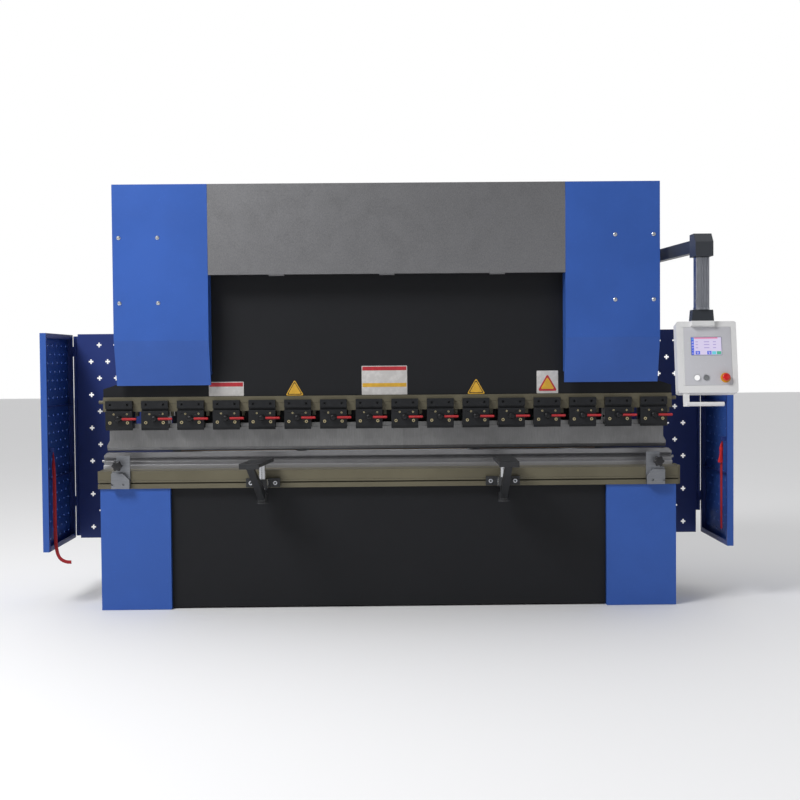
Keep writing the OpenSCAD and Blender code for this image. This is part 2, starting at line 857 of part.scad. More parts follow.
module cabinet_door() {
    y0 = frame_rear + cabinet_d + fit;
    color("#c3c5c7") {
        difference() {
            slab([cabinet_x0, y0, cabinet_z0], [cabinet_x1 - 2, y0 + cabinet_door_t, cabinet_z1]);
            slab([cabinet_x0 + 2, y0 - cut, cabinet_z0 + 2],
                [cabinet_x1 - 4, y0 + cabinet_door_t - 2, cabinet_z1 - 2]);
        }
        for (z = [cabinet_z0 + 140 + fit, cabinet_z1 - 140 + fit]) difference() {
            union() {
                rod_z(cabinet_x1 + 10, y0 + 8 - fit, z, z + 39, 16);
                slab([cabinet_x1 - 8, y0 + 3, z], [cabinet_x1 + 10, y0 + 13, z + 39]);
            }
            rod_z(cabinet_x1 + 10, y0 + 8 - fit, z - cut, z + 40, 8.1);
        }
        rod_y(cabinet_x0 + 50, y0 + cabinet_door_t - 2, y0 + cabinet_door_t + 14,
            (cabinet_z0 + cabinet_z1) / 2, 26);
        slab([cabinet_x0 + 43, y0 + cabinet_door_t + 13, (cabinet_z0 + cabinet_z1) / 2 - 80],
            [cabinet_x0 + 57, y0 + cabinet_door_t + 23, (cabinet_z0 + cabinet_z1) / 2 + 14]);
    }
}

// ---- Ram, clamps and punches ----

module ram_outline() {
    x = half_len;
    polygon([[-x, ram_z], [x, ram_z], [x, ram_z + ram_end_h],
        [x - ram_chamfer, ram_z + ram_end_h + ram_end_rise], [x - ram_chamfer, ram_shoulder_z],
        [ram_crown_half, ram_shoulder_z], [ram_crown_half, ram_crown_z],
        [-ram_crown_half, ram_crown_z], [-ram_crown_half, ram_shoulder_z],
        [ram_chamfer - x, ram_shoulder_z], [ram_chamfer - x, ram_z + ram_end_h + ram_end_rise],
        [-x, ram_z + ram_end_h]]);
}

// Two cheeks on the ram's back, slotted for the rocker's pin
module rocker_cheeks() {
    s = rocker_pin_d / 2 + slot_play;
    for (x = [rocker_x - rocker_t / 2 - cheek_t - 1, rocker_x + rocker_t / 2 + 1])
        side_plate(x, x + cheek_t) difference() {
            translate([ram_back - cut, rocker_pin_z - 50]) square([100 + cut, 100]);
            hull() for (y = [-6, 12]) translate([rocker_pin_y + y, rocker_pin_z]) circle(s);
        }
}

// The strip behind the clamps that keeps the punches from tipping back
module keeper_strip() {
    slab([-keeper_x, by + clamp_back, shoulder_z + 8],
        [keeper_x, by + clamp_back + keeper_t, punch_rail_z + 60]);
}

module ram_plate() {
    color("#23262b") {
        keeper_strip();
        front_plate(ram_front, ram_back) ram_outline();
        both() {
            slab([frame_x - guide_rail_w / 2, ram_back - cut, ram_z + 10],
                [frame_x + guide_rail_w / 2, ram_back + guide_rail_t, ram_shoulder_z - 5]);
            rocker_cheeks();
        }
    }
}

module punch_rail() {
    front = by - clamp_back;
    color("#6b665a") {
        difference() {
            slab([-half_len, front, punch_rail_z], [half_len, by + clamp_back, ram_z]);
            slab([-half_len - cut, front - cut, punch_rail_z + 43],
                [half_len + cut, front + 1.5, punch_rail_z + 46]);
        }
        both() rod_x(half_len - cut, half_len + 28, by - 20, punch_rail_z + 54, 20);
        for (i = [0:clamp_n - 1])
            slab([clamp_x(i) + clamp_w / 2 + 6, by - 20, punch_rail_z - 27],
                [clamp_x(i) + clamp_w / 2 + 24, by + 20, punch_rail_z + cut]);
    }
}

// The clamp's fixed jaw, which hangs from the punch rail
module clamp_body_outline() {
    front = by - clamp_reach;
    web = front + clamp_plate_t;
    rail = by - clamp_back;
    polygon([[front, clamp_high], [front, clamp_split + recess_h], [web, clamp_split + recess_h],
        [web, punch_top + 29], [by + tang_t / 2, punch_top + 29],
        [by + tang_t / 2, shoulder_z], [by + clamp_back, shoulder_z],
        [by + clamp_back, punch_rail_z], [rail, punch_rail_z], [rail, clamp_high]]);
}

// The swinging front jaw, which presses on the punch tang
module clamp_jaw_outline() {
    front = by - clamp_reach;
    web = front + clamp_plate_t - fit;
    polygon([[front, clamp_split], [front, clamp_low + 16], [front + 8, clamp_low],
        [web, clamp_low], [web, shoulder_z], [by - tang_t / 2, shoulder_z],
        [by - tang_t / 2, punch_top - fit], [by - tang_t / 2 - 12, punch_top + 18],
        [web, punch_top + 18], [web, clamp_split]]);
}

module clamps() {
    front = by - clamp_reach;
    color("#26282b") for (i = [0:clamp_n - 1]) {
        x = clamp_x(i);
        difference() {
            side_plate(x - clamp_w / 2, x + clamp_w / 2) clamp_body_outline();
            for (s = [-48, 48]) rod_y(x + s, front - cut, front + 14, clamp_split + 36, 14);
            rod_y(x, front - cut, front + clamp_plate_t + 6, lever_z, stem_d + 0.1);
        }
        difference() {
            side_plate(x - clamp_w / 2, x + clamp_w / 2) clamp_jaw_outline();
            rod_y(x, front - cut, front + clamp_plate_t + cut, lever_z, stem_d + 0.1);
            for (s = [-42, 32]) slab([x + s - 12, front - cut, lever_z + 24],
                [x + s + 4, front + 3, lever_z + 30]);
        }
    }
}

module clamp_screws() {
    front = by - clamp_reach;
    color("#c8c2a4") for (i = [0:clamp_n - 1]) {
        x = clamp_x(i);
        for (s = [-49, 49]) rod_y(x + s, front - 4, front, tip_z + 163, 17);
        for (s = [-28, 46]) rod_y(x + s, front - 2.5, front, lever_z + 27, 10);
    }
}

// A clamp lever: hub, stem through the jaw, and the handle to its right
module lever(n) {
    front = by - clamp_reach;
    x = clamp_x(n - 1);
    color("#b3242b") {
        rod_y(x, front - 27, front - fit, lever_z, hub_d);
        rod_y(x, front - fit - cut, front + clamp_plate_t + 5, lever_z, stem_d);
        rod_x(x + 8, x + 102, front - 17, lever_z, 15);
    }
}

function punch_starts(x0, x1) =
    let(n = floor((x1 - x0 - short_len) / segment_len))
    concat([for (i = [0:n]) x0 + i * segment_len], [x1 - short_len, x1]);

// The punch seen from the end
module punch_outline() {
    t = punch_t / 2;
    polygon([[by - tang_t / 2, punch_top], [by - tang_t / 2, shoulder_z], [by - t, shoulder_z],
        [by - t, tip_z + 21], [by - 1, tip_z], [by + 1, tip_z], [by + t, tip_z + 21],
        [by + t, shoulder_z], [by + tang_t / 2, shoulder_z], [by + tang_t / 2, punch_top]]);
}

// The front view of the row of punches: the tips flare out at both ends
module punch_front(x0, x1) {
    horn = 15;
    polygon([[x0 - horn, tip_z], [x1 + horn, tip_z], [x1 + horn, tip_z + 34], [x1, tip_z + 60],
        [x1, punch_top + cut], [x0, punch_top + cut], [x0, tip_z + 60], [x0 - horn, tip_z + 34]]);
}

module punches() {
    x1 = half_len - 35 + tool_shift;
    x0 = -half_len + 35 + tool_shift;
    starts = punch_starts(x0, x1);
    n = len(starts);
    color("#6f7377") intersection() {
        front_plate(by - 50, by + 50) punch_front(x0, x1);
        for (i = [0:n - 2])
            side_plate(starts[i] + (i == 0 ? -15 : fit / 2),
                starts[i + 1] - (i == n - 2 ? -15 : fit / 2)) punch_outline();
    }
}

module piston_rods() {
    color("#c9ccd0") both() {
        slab([frame_x - 100, by - 55, ram_shoulder_z],
            [frame_x + 100, ram_back, ram_shoulder_z + 40]);
        rod_z(frame_x, by, ram_shoulder_z + 39, barrel_z + gland_h + 26, rod_d);
        rod_z(frame_x, by, barrel_z + gland_h + 25, barrel_z + gland_h + 85, bore_d - 0.1);
    }
}

// ---- Sheet supports ----

// The block that clamps a support to the front rail, with its post
module support_bracket(x) {
    z0 = support_z - support_block_h / 2 + 4;
    z1 = z0 + support_block_h;
    slot_z = support_z + 5;
    color("#25272a") {
        difference() {
            slab([x - support_block_w / 2, rail_front - support_block_t, z0],
                [x + support_block_w / 2, rail_front - fit, z1]);
            for (s = [-67, 67]) rod_y(x + s, rail_front - support_block_t - cut,
                rail_front - support_block_t + 6, slot_z, 18);
        }
        for (s = [-67, 67]) rod_y(x + s, rail_front - support_block_t + 1.5,
            rail_front - support_block_t + 7, slot_z, 15);
        slab([x - 80, rail_front - cut, slot_z - slot_w / 2 + fit],
            [x + 80, rail_front + 12 + fit, slot_z + slot_w / 2 - fit]);
        slab([x - 80, rail_front + 12 + fit, slot_z - slot_w + fit],
            [x + 80, rail_front + 22 - fit, slot_z + slot_w - fit]);
        slab([x - 34, support_post_y, z0], [x + 34, rail_front - support_block_t + cut, z1]);
        rod_z(x, support_post_y, z0, z1, 68);
        rod_z(x, support_post_y, support_base - 8, support_top - arm_plate_t - fit,
            support_post_d);
        rod_z(x, support_post_y, support_base - 8, support_base, support_post_d + 24);
    }
}

module support_bracket_left() {
    support_bracket(-support_left_x);
}

module support_bracket_right() {
    support_bracket(support_right_x);
}

// The swivelling arm of a sheet support, pointing along -Y before its turn
module support_arm(x, turn) {
    w = arm_plate_w / 2;
    color("#2a2c2f") translate([x, support_post_y, 0]) rotate(turn) difference() {
        union() {
            slab([-w, 60 - support_len, support_top - arm_plate_t], [w, 60, support_top]);
            side_plate(-19, 19) polygon([[-26, support_base + fit], [-26, support_base + 14],
                [70 - support_len, support_top - arm_plate_t + cut],
                [110 - support_len, support_top - arm_plate_t + cut],
                [26, support_base + 42], [26, support_base + fit]]);
            rod_z(0, 0, support_base + fit, support_base + 42, 54);
            slab([-w, 60 - support_len, support_top - arm_plate_t - 8],
                [w, 72 - support_len, support_top - arm_plate_t + cut]);
        }
        rod_z(0, 0, support_base - cut, support_top - arm_plate_t, support_post_d + 0.1);
    }
}

module support_arm_left() {
    support_arm(-support_left_x, -support_left_turn);
}

module support_arm_right() {
    support_arm(support_right_x, support_right_turn);
}

// A six-lobed knob on the screw that pushes the die from the front
module die_knob(x) {
    y = rail_front - end_block_t - 8;
    color("#1f2022") {
        translate([x, y, knob_z]) rotate([90, 0, 0]) linear_extrude(24) difference() {
            union() {
                circle(d = knob_d - 14);
                for (a = [0:60:300]) rotate(a) translate([knob_d / 2 - 9, 0]) circle(d = 18);
            }
            for (a = [30:60:330]) rotate(a) translate([knob_d / 2 + 2, 0]) circle(d = 14);
        }
        rod_y(x, y - 26, y + 4, knob_z, 26);
        rod_y(x, y, by - die_d / 2 - fit, knob_z, knob_screw_d);
    }
}

module die_knob_left() {
    die_knob(-knob_x);
}

module die_knob_right() {
    die_knob(knob_x);
}

// ---- Pendant ----

module arm_bracket() {
    z = arm_z - 69;
    color("#2b2f36") {
        slab([frame_out, pivot_y - 50, z - 40], [frame_out + 14, pivot_y + 70, z + 100]);
        slab([frame_out + 13, pivot_y - 30, z], [pivot_x, pivot_y + 30, z + 54]);
        rod_z(pivot_x, pivot_y, z, arm_z - 4, 70);
        rod_z(pivot_x, pivot_y, arm_z - 5, arm_z + arm_h, 30);
    }
}

// The fluted drop tube of the pendant, seen from above
module tube_outline() {
    difference() {
        round_rect([-36, -32], [36, 32], 10);
        for (x = [-6:14:22]) translate([x, -33]) circle(r = 4.5);
    }
}

module pendant_arm() {
    color("#a9abad") {
        translate([pivot_x, pivot_y, arm_z]) rotate(arm_angle) difference() {
            union() {
                slab([-arm_w / 2, 60 - arm_len, 0], [arm_w / 2, 0, arm_h]);
                rod_z(0, 0, -4 + fit, arm_h, 70);
            }
            rod_z(0, 0, -5, arm_h + cut, 30.1);
        }
        translate([tube_x, tube_y, 0]) {
            side_plate(-elbow_w / 2, elbow_w / 2) polygon([[65, elbow_z], [65, elbow_z + elbow_h],
                [-25, elbow_z + elbow_h], [-65, elbow_z + elbow_h - 45], [-65, elbow_z]]);
            translate([0, 0, tube_z + 4]) linear_extrude(elbow_z - tube_z - 4 + cut) tube_outline();
            rod_z(0, 0, tube_z + fit, tube_z + 12, 84);
            slab([-40, -38, tube_z + 30], [-24, -30, tube_z + 52]);
        }
    }
}

// Puts its children in the control box's own frame: X right, -Y out of
// its face, Z up along the face, the origin in the middle of the face
module on_panel() {
    translate([panel_x, tube_y - panel_d / 2, panel_z])
        rotate([-panel_tilt, 0, -panel_turn]) children();
}

// A button's bore and its spring pocket in the control box
module button_bore(u, d) {
    rod_y(u, -cut, 34, button_v, d);
}

module pendant_box() {
    w = panel_w / 2;
    h = panel_h / 2;
    color("#c9cacc") {
        difference() {
            union() {
                on_panel() front_plate(0, panel_d) round_rect([-w, -h], [w, h], 12);
                translate([tube_x, tube_y, 0]) front_plate(-32, 32) polygon([
                    [-neck_top_w / 2, tube_z], [neck_top_w / 2, tube_z],
                    [neck_low_w / 2, tube_z - neck_piece_h - 25],
                    [-neck_low_w / 2, tube_z - neck_piece_h - 25]]);
            }
            on_panel() {
                slab([4 - w, 7, 4 - h], [w - 4, panel_d - 4, h - 4]);
                translate([0, 0, 4]) front_plate(-cut, 3)
                    round_rect([-face_w / 2, -face_h / 2], [face_w / 2, face_h / 2], 4);
                button_bore(-56, 22.6);
                button_bore(-8, 20.6);
                button_bore(90, 24.6);
            }
        }
        on_panel() {
            slab([-w + 24, 6, -h - 70], [-w + 56, 12, -h + 20]);
            rod_x(-w + 40, w - 75, 9, -h - 58, 22);
            difference() {
                rod_y(90, 1, 3, button_v, 52);
                rod_y(90, 0, 4, button_v, 24.6);
            }
        }
    }
}

module button_white() {
    color("#f2f2f0") on_panel() {
        rod_y(-56, -7, -1, button_v, 28);
        rod_y(-56, -2, 26, button_v, 22);
    }
}

module button_grey() {
    color("#6a6d70") on_panel() {
        rod_y(-8, -5, -1, button_v, 26);
        rod_y(-8, -2, 26, button_v, 20);
    }
}

module estop() {
    color("#c4161c") on_panel() translate([90, 0, button_v]) rotate([90, 0, 0]) {
        translate([0, 0, -24]) cylinder(d = 24, h = 38);
        rotate_extrude() polygon([[0, 13], [15, 13], [20, 17], [20, 24], [15, 28], [0, 29]]);
    }
}

// ---- Draw the chosen node, or all of them ----

main_frame();
worktable();
front_rail();
die_set();
leg_covers();
cylinder_covers();
cover_screws();
fascia_panel();
apron_panel();
oil_tank();
cylinder_barrels();
power_pack();
guide_blocks();
gauge_rails();
guard_wings();
arm_bracket();
cabinet();
die_end_plates();
ram_plate();
punch_rail();
clamps();
clamp_screws();
punches();
piston_rods();
lever(1);  // lever_01
lever(2);  // lever_02
lever(3);  // lever_03
lever(4);  // lever_04
lever(5);  // lever_05
lever(6);  // lever_06
lever(7);  // lever_07
lever(8);  // lever_08
lever(9);  // lever_09
lever(10);  // lever_10
lever(11);  // lever_11
lever(12);  // lever_12
lever(13);  // lever_13
lever(14);  // lever_14
lever(15);  // lever_15
lever(16);  // lever_16
torsion_shaft();
gauge_beam();
gauge_finger_left();
gauge_finger_right();
support_bracket_left();
support_bracket_right();
support_arm_left();
support_arm_right();
die_knob_left();
die_knob_right();
door_left();
door_right();
strap_left();
strap_right();
pendant_arm();
pendant_box();
estop();
button_white();
button_grey();
cabinet_door();
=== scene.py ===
"""Looks of a hydraulic press brake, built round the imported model.

Every length is in metres in the model's own frame: X along the bending line,
+Y to the back, +Z up, the origin on the floor between the anchor bolts.
"""

import json
import math

import bpy
import numpy as np
from bpy.props import FloatProperty, FloatVectorProperty, IntProperty, PointerProperty
from mathutils import Matrix, Vector


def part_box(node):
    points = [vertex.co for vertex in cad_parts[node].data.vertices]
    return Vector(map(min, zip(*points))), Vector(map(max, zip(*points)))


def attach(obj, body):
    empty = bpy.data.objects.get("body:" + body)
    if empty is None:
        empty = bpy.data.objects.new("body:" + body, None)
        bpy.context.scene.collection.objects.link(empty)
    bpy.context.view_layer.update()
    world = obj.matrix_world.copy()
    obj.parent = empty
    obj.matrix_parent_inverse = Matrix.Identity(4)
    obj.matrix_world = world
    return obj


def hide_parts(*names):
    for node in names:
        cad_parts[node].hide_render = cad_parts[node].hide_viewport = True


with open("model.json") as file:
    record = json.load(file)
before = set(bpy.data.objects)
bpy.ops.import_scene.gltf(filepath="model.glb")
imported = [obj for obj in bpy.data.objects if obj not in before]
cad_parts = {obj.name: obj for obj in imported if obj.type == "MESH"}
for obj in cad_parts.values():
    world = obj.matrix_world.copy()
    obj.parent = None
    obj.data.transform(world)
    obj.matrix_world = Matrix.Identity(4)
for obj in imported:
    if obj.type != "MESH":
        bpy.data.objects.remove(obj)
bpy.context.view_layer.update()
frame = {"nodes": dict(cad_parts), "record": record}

bl_info = {
    "name": "Press Brake Looks",
    "version": (1, 0, 0),
    "blender": (4, 5, 0),
    "location": "3D View > Sidebar > Press Brake",
    "description": "Finishes and fine pieces of a hydraulic press brake",
    "category": "Object",
}

MM = 0.001
UP = np.array([0.0, 0.0, 1.0])
FORWARD = (0, -1, 0)


# ---- Places read from the frame ----

def low(node):
    """Lowest corner of a CAD node."""
    return np.array(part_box(node)[0])


def high(node):
    """Highest corner of a CAD node."""
    return np.array(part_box(node)[1])


JOINTS = {j["name"]: j for j in frame["record"]["behaviour"]["joints"]}
LEVERS = sorted(n for n in frame["nodes"] if n.startswith("lever_"))
RAM_FRONT = low("ram_plate")[1]
RAM_FOOT = high("punch_rail")[2]
CLAMP_FRONT = low("clamps")[1]
PANEL_TURN = math.radians(3)
PANEL_TILT = math.radians(11)
BUTTON_V = -110 * MM


def panel_axes():
    """The control box's own axes as columns: right, into the box, up its face."""
    turn = Matrix.Rotation(-PANEL_TURN, 3, "Z")
    tilt = Matrix.Rotation(-PANEL_TILT, 3, "X")
    return np.array(turn @ tilt)


PANEL_AXES = panel_axes()
PANEL_FACE = np.array([1654.5, -1115.7, 1372]) * MM


# ---- Surfaces ----

SHARP_EDGE = math.radians(35)


def add_piece(name, verts, faces, materials, body, face_materials=None, smooth=True):
    """Makes a mesh from arrays, gives it its materials and lets it ride on a body."""
    mesh = bpy.data.meshes.new(name)
    mesh.from_pydata(np.asarray(verts, dtype=float).tolist(), [], [list(f) for f in faces])
    for material in materials:
        mesh.materials.append(material)
    if face_materials is not None:
        mesh.polygons.foreach_set("material_index", np.asarray(face_materials, dtype=np.int32))
    mesh.polygons.foreach_set("use_smooth", np.full(len(mesh.polygons), smooth))
    mesh.update()
    piece = bpy.data.objects.new(name, mesh)
    bpy.context.scene.collection.objects.link(piece)
    if smooth:
        mesh.set_sharp_from_angle(angle=SHARP_EDGE)
    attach(piece, body)
    return piece


def grid_faces(rows, columns, wrap=True):
    """Quads between the points of a grid of rows by columns, closed round each row."""
    i, j = np.meshgrid(np.arange(rows - 1), np.arange(columns if wrap else columns - 1),
                       indexing="ij")
    a = i * columns + j
    b = i * columns + (j + 1) % columns
    return np.stack([a, b, b + columns, a + columns], axis=-1).reshape(-1, 4)


def tube_of_rings(rings):
    """Closed solid through a stack of rings: the walls as quads, a flat cap at each end."""
    rows, columns = rings.shape[:2]
    verts = rings.reshape(-1, 3)
    faces = [tuple(f) for f in grid_faces(rows, columns)]
    faces.append(tuple(range(columns - 1, -1, -1)))
    faces.append(tuple((rows - 1) * columns + k for k in range(columns)))
    return verts, faces


def lathe(profile, centre, axis, turns=40, lobes=0, depth=0.0):
    """Surface of revolution: radius and height along a profile, turned round an axis.

    With lobes, the radius swells as depth times a cosine of the angle, as on a star knob.
    """
    profile = np.asarray(profile, dtype=float)
    axis = np.asarray(axis, dtype=float) / np.linalg.norm(axis)
    side = np.cross(axis, UP if abs(axis[2]) < 0.9 else np.array([1.0, 0, 0]))
    side /= np.linalg.norm(side)
    other = np.cross(axis, side)
    angle = np.linspace(0, 2 * np.pi, turns, endpoint=False)
    swell = 1 + depth * np.cos(lobes * angle) if lobes else np.ones(turns)
    radius = profile[:, :1] * swell[None, :]
    around = np.cos(angle)[:, None] * side + np.sin(angle)[:, None] * other
    rings = (np.asarray(centre) + profile[:, 1, None, None] * axis
             + radius[..., None] * around[None])
    return tube_of_rings(rings)


def rounded_ring(width, height, radius, steps=5):
    """Outline of a rectangle whose corners are quarter circles, anticlockwise."""
    radius = min(radius, width / 2 - 1e-6, height / 2 - 1e-6)
    arc = np.linspace(0, np.pi / 2, steps + 1)
    quarter = np.stack([np.cos(arc), np.sin(arc)], axis=1) * radius
    corner = np.array([width / 2 - radius, height / 2 - radius])
    parts = []
    for k in range(4):
        c, s = round(math.cos(k * math.pi / 2)), round(math.sin(k * math.pi / 2))
        turn = np.array([[c, -s], [s, c]])
        sign = np.array([1 if k in (0, 3) else -1, 1 if k in (0, 1) else -1])
        parts.append(quarter @ turn.T + corner * sign)
    return np.concatenate(parts)


def slab_rings(width, height, thickness, corner, edge, steps=3):
    """Rings of a slab with round corners and a round front and back edge.

    The ring shrinks by edge times (1 - sin) while it moves by edge times (1 - cos)
    of the same angle, so each edge is a quarter circle. The front lies at y = 0.
    """
    edge = min(edge, thickness / 2)
    arc = np.linspace(0, np.pi / 2, steps + 1)
    inset = np.concatenate([edge * (1 - np.sin(arc)), edge * (1 - np.sin(arc[::-1]))])
    along = np.concatenate([edge * (1 - np.cos(arc)),
                            thickness - edge * (1 - np.cos(arc[::-1]))])
    rings = []
    for shrink, y in zip(inset, along):
        ring = rounded_ring(width - 2 * shrink, height - 2 * shrink,
                            max(corner - shrink, 0.2 * MM))
        rings.append(np.column_stack([ring[:, 0], np.full(len(ring), y), ring[:, 1]]))
    return np.array(rings)


def slab(centre, width, height, thickness, corner, edge, axes=np.eye(3)):
    """A rounded slab, its face centred on a point and turned to a set of axes."""
    verts, faces = tube_of_rings(slab_rings(width, height, thickness, corner, edge))
    return verts @ axes.T + np.asarray(centre), faces


def join(shells, kinds=None):
    """Joins (vertices, faces) pairs into one, and gives each face its shell's kind, which is
    the place of its material in the piece's list."""
    verts, faces, kind_of = [], [], []
    count = 0
    for (v, f), kind in zip(shells, kinds or [0] * len(shells)):
        verts.append(v)
        faces.extend(tuple(int(i) + count for i in face) for face in f)
        kind_of.extend([kind] * len(f))
        count += len(v)
    return np.concatenate(verts), faces, kind_of


def smooth_path(points, steps):
    """Curve through a list of points: a Catmull-Rom cubic between each pair."""
    p = np.asarray(points, dtype=float)
    p = np.concatenate([[2 * p[0] - p[1]], p, [2 * p[-1] - p[-2]]])
    t = np.linspace(0, 1, steps, endpoint=False)[:, None]
    spans = [0.5 * (2 * b + (c - a) * t + (2 * a - 5 * b + 4 * c - d) * t ** 2
                    + (3 * b - a - 3 * c + d) * t ** 3)
             for a, b, c, d in zip(p[:-3], p[1:-2], p[2:-1], p[3:])]
    return np.concatenate(spans + [p[-2:-1]])


# ---- Finishes ----

RIB_PITCH = 2.2 * MM
THREAD_PITCH = 1.6 * MM
DOT_PITCH = 1.2 * MM


class Wire:
    """A value in a node tree that can be added, multiplied and compared."""

    def __init__(self, tree, socket):
        self.tree = tree
        self.socket = socket

    def _sum(self, operation, *values):
        return add_node(self.tree, "ShaderNodeMath", {"operation": operation},
                        dict(enumerate(values)))

    def __add__(self, other):
        return self._sum("ADD", self, other)

    def __radd__(self, other):
        return self._sum("ADD", other, self)

    def __sub__(self, other):
        return self._sum("SUBTRACT", self, other)

    def __rsub__(self, other):
        return self._sum("SUBTRACT", other, self)

    def __mul__(self, other):
        return self._sum("MULTIPLY", self, other)

    def __rmul__(self, other):
        return self._sum("MULTIPLY", other, self)

    def __truediv__(self, other):
        return self._sum("DIVIDE", self, other)

    def __gt__(self, other):
        return self._sum("GREATER_THAN", self, other)

    def __lt__(self, other):
        return self._sum("LESS_THAN", self, other)


def feed(tree, socket, value):
    """Puts a constant or a wire into a socket."""
    if isinstance(value, Wire):
        tree.links.new(value.socket, socket)
    else:
        socket.default_value = value


def add_node(tree, kind, settings=None, inputs=None, output=0):
    """Adds one node: its settings first, then its sockets' values or wires."""
    node = tree.nodes.new(kind)
    for key, value in (settings or {}).items():
        setattr(node, key, value)
    for key, value in (inputs or {}).items():
        feed(tree, node.inputs[key], value)
    return Wire(tree, node.outputs[output])


class Finish:
    """A material being built: its node tree and its shader."""

    def __init__(self, name, colour, roughness, metallic=0.0, coat=0.0):
        self.name = name
        self.material = bpy.data.materials.new(name)
        self.material.use_nodes = True
        self.material.diffuse_color = (*linear(colour), 1)
        self.tree = self.material.node_tree
        self.shader = self.tree.nodes["Principled BSDF"]
        self.colour = linear(colour)
        self.set("Base Color", (*self.colour, 1))
        self.set("Roughness", roughness)
        self.set("Metallic", metallic)
        if coat:
            self.set("Coat Weight", coat)
            self.set("Coat Roughness", 0.12)

    def set(self, socket, value):
        """Puts a constant or a wire into one of the shader's sockets."""
        feed(self.tree, self.shader.inputs[socket], value)

    def now(self, socket):
        """The wire that already feeds one of the shader's sockets."""
        return Wire(self.tree, self.shader.inputs[socket].links[0].from_socket)

    def math(self, operation, *values):
        """A Math node that no operator stands for."""
        return self.node("ShaderNodeMath", {"operation": operation}, dict(enumerate(values)))

    def node(self, kind, settings=None, inputs=None, output=0):
        """Adds one node to the material."""
        return add_node(self.tree, kind, settings, inputs, output)

    def place(self):
        """The point on the surface in the model's own frame."""
        return self.node("ShaderNodeTexCoord", output="Object")

    def axes(self, source=None):
        """The point's X, Y and Z as three wires."""
        split = self.node("ShaderNodeSeparateXYZ", inputs={"Vector": source or self.place()})
        outputs = split.socket.node.outputs
        return [Wire(self.tree, outputs[k]) for k in range(3)]

    def stretched(self, scale, source=None):
        """The point with each axis scaled, to draw a pattern out along one of them."""
        return self.node("ShaderNodeMapping", inputs={"Vector": source or self.place(),
                                                      "Scale": scale})

    def noise(self, scale, detail=2.0, roughness=0.5, stretch=None):
        """Cloudy noise from 0 to 1."""
        source = self.stretched(stretch) if stretch else self.place()
        return self.node("ShaderNodeTexNoise", inputs={
            "Vector": source, "Scale": scale, "Detail": detail, "Roughness": roughness})

    def mask(self, value, low, high):
        """A smooth step from 0 at low to 1 at high."""
        return self.node("ShaderNodeMapRange", {"interpolation_type": "SMOOTHSTEP"},
                         {"Value": value, "From Min": low, "From Max": high})

    def mix(self, factor, first, second):
        """Blends two colours."""
        first, second = (c if isinstance(c, Wire) else (*c, 1) for c in (first, second))
        return self.node("ShaderNodeMix", {"data_type": "RGBA"},
                         {0: factor, 6: first, 7: second}, output=2)

    def bump(self, height, strength, distance=0.4 * MM):
        """Fine relief from a height from 0 to 1."""
        self.set("Normal", self.node("ShaderNodeBump", inputs={
            "Height": height, "Strength": strength, "Distance": distance}))


def linear(colour):
    """Screen colour from 0 to 1 turned to light: the usual curve of a screen."""
    c = np.asarray(colour, dtype=float)
    return tuple(np.where(c <= 0.04045, c / 12.92, ((c + 0.055) / 1.055) ** 2.4).tolist())


def shade(colour, gain):
    """A colour made lighter or darker."""
    return tuple(min(1.0, c * gain) for c in colour)


def dusty_paint(name, colour, roughness, peel=0.25, dust=0.06, coat=0.0):
    """Paint on sheet metal: faint clouds of tone, an orange-peel skin and dull smudges."""
    f = Finish(name, colour, roughness, coat=coat)
    f.set("Specular IOR Level", 0.3)
    cloud = f.noise(2.2, 4.0, 0.6)
    fleck = f.noise(60.0, 3.0, 0.6)
    tone = f.mix(f.mask(cloud, 0.3, 0.7), shade(f.colour, 1 - dust), shade(f.colour, 1 + dust))
    f.set("Base Color", f.mix(f.mask(fleck, 0.62, 0.75) * 0.25, tone, shade(f.colour, 1.35)))
    smudge = f.noise(7.0, 5.0, 0.65)
    f.set("Roughness", roughness - 0.08 + 0.16 * smudge)
    f.bump(f.noise(420.0, 1.0), peel)
    return f


def ground_steel(name, colour, roughness, grain=(4.0, 260.0, 260.0), depth=0.25, patches=0.12):
    """Ground or brushed steel: fine scratches drawn out one way, over cloudy patches."""
    f = Finish(name, colour, roughness, metallic=1.0)
    scratch = f.noise(4.0, 4.0, 0.7, stretch=grain)
    patch = f.noise(9.0, 4.0, 0.6)
    streaks = f.mix(f.mask(scratch, 0.3, 0.7), shade(f.colour, 0.8), shade(f.colour, 1.15))
    f.set("Base Color", f.mix(f.mask(patch, 0.45, 0.75) * patches * 4, streaks,
                              shade(f.colour, 1 - 2 * patches)))
    f.set("Roughness", roughness - 0.1 + 0.2 * scratch + 0.1 * patch)
    f.bump(scratch, depth, 0.1 * MM)
    return f


def cast_or_oxide(name, colour, roughness, metallic=0.5, pits=0.35):
    """Black oxide or a casting: a dull skin with fine pits and worn lighter patches."""
    f = Finish(name, colour, roughness, metallic=metallic)
    skin = f.noise(180.0, 3.0, 0.6)
    worn = f.noise(28.0, 5.0, 0.7)
    f.set("Base Color", f.mix(f.mask(worn, 0.5, 0.75) * 0.45, f.colour, shade(f.colour, 1.9)))
    f.set("Roughness", roughness - 0.1 + 0.2 * worn)
    f.bump(skin, pits, 0.25 * MM)
    return f


def moulded(name, colour, roughness, coat=0.0, texture=0.3):
    """Moulded plastic with a fine spark-eroded skin and a trace of handling."""
    f = Finish(name, colour, roughness, coat=coat)
    grain = f.node("ShaderNodeTexVoronoi", inputs={"Vector": f.place(), "Scale": 900.0})
    hand = f.noise(35.0, 3.0, 0.6)
    f.set("Base Color", f.mix(f.mask(hand, 0.4, 0.7), shade(f.colour, 0.92), shade(f.colour, 1.1)))
    f.set("Roughness", roughness - 0.05 + 0.12 * hand)
    f.bump(grain, texture, 0.15 * MM)
    return f


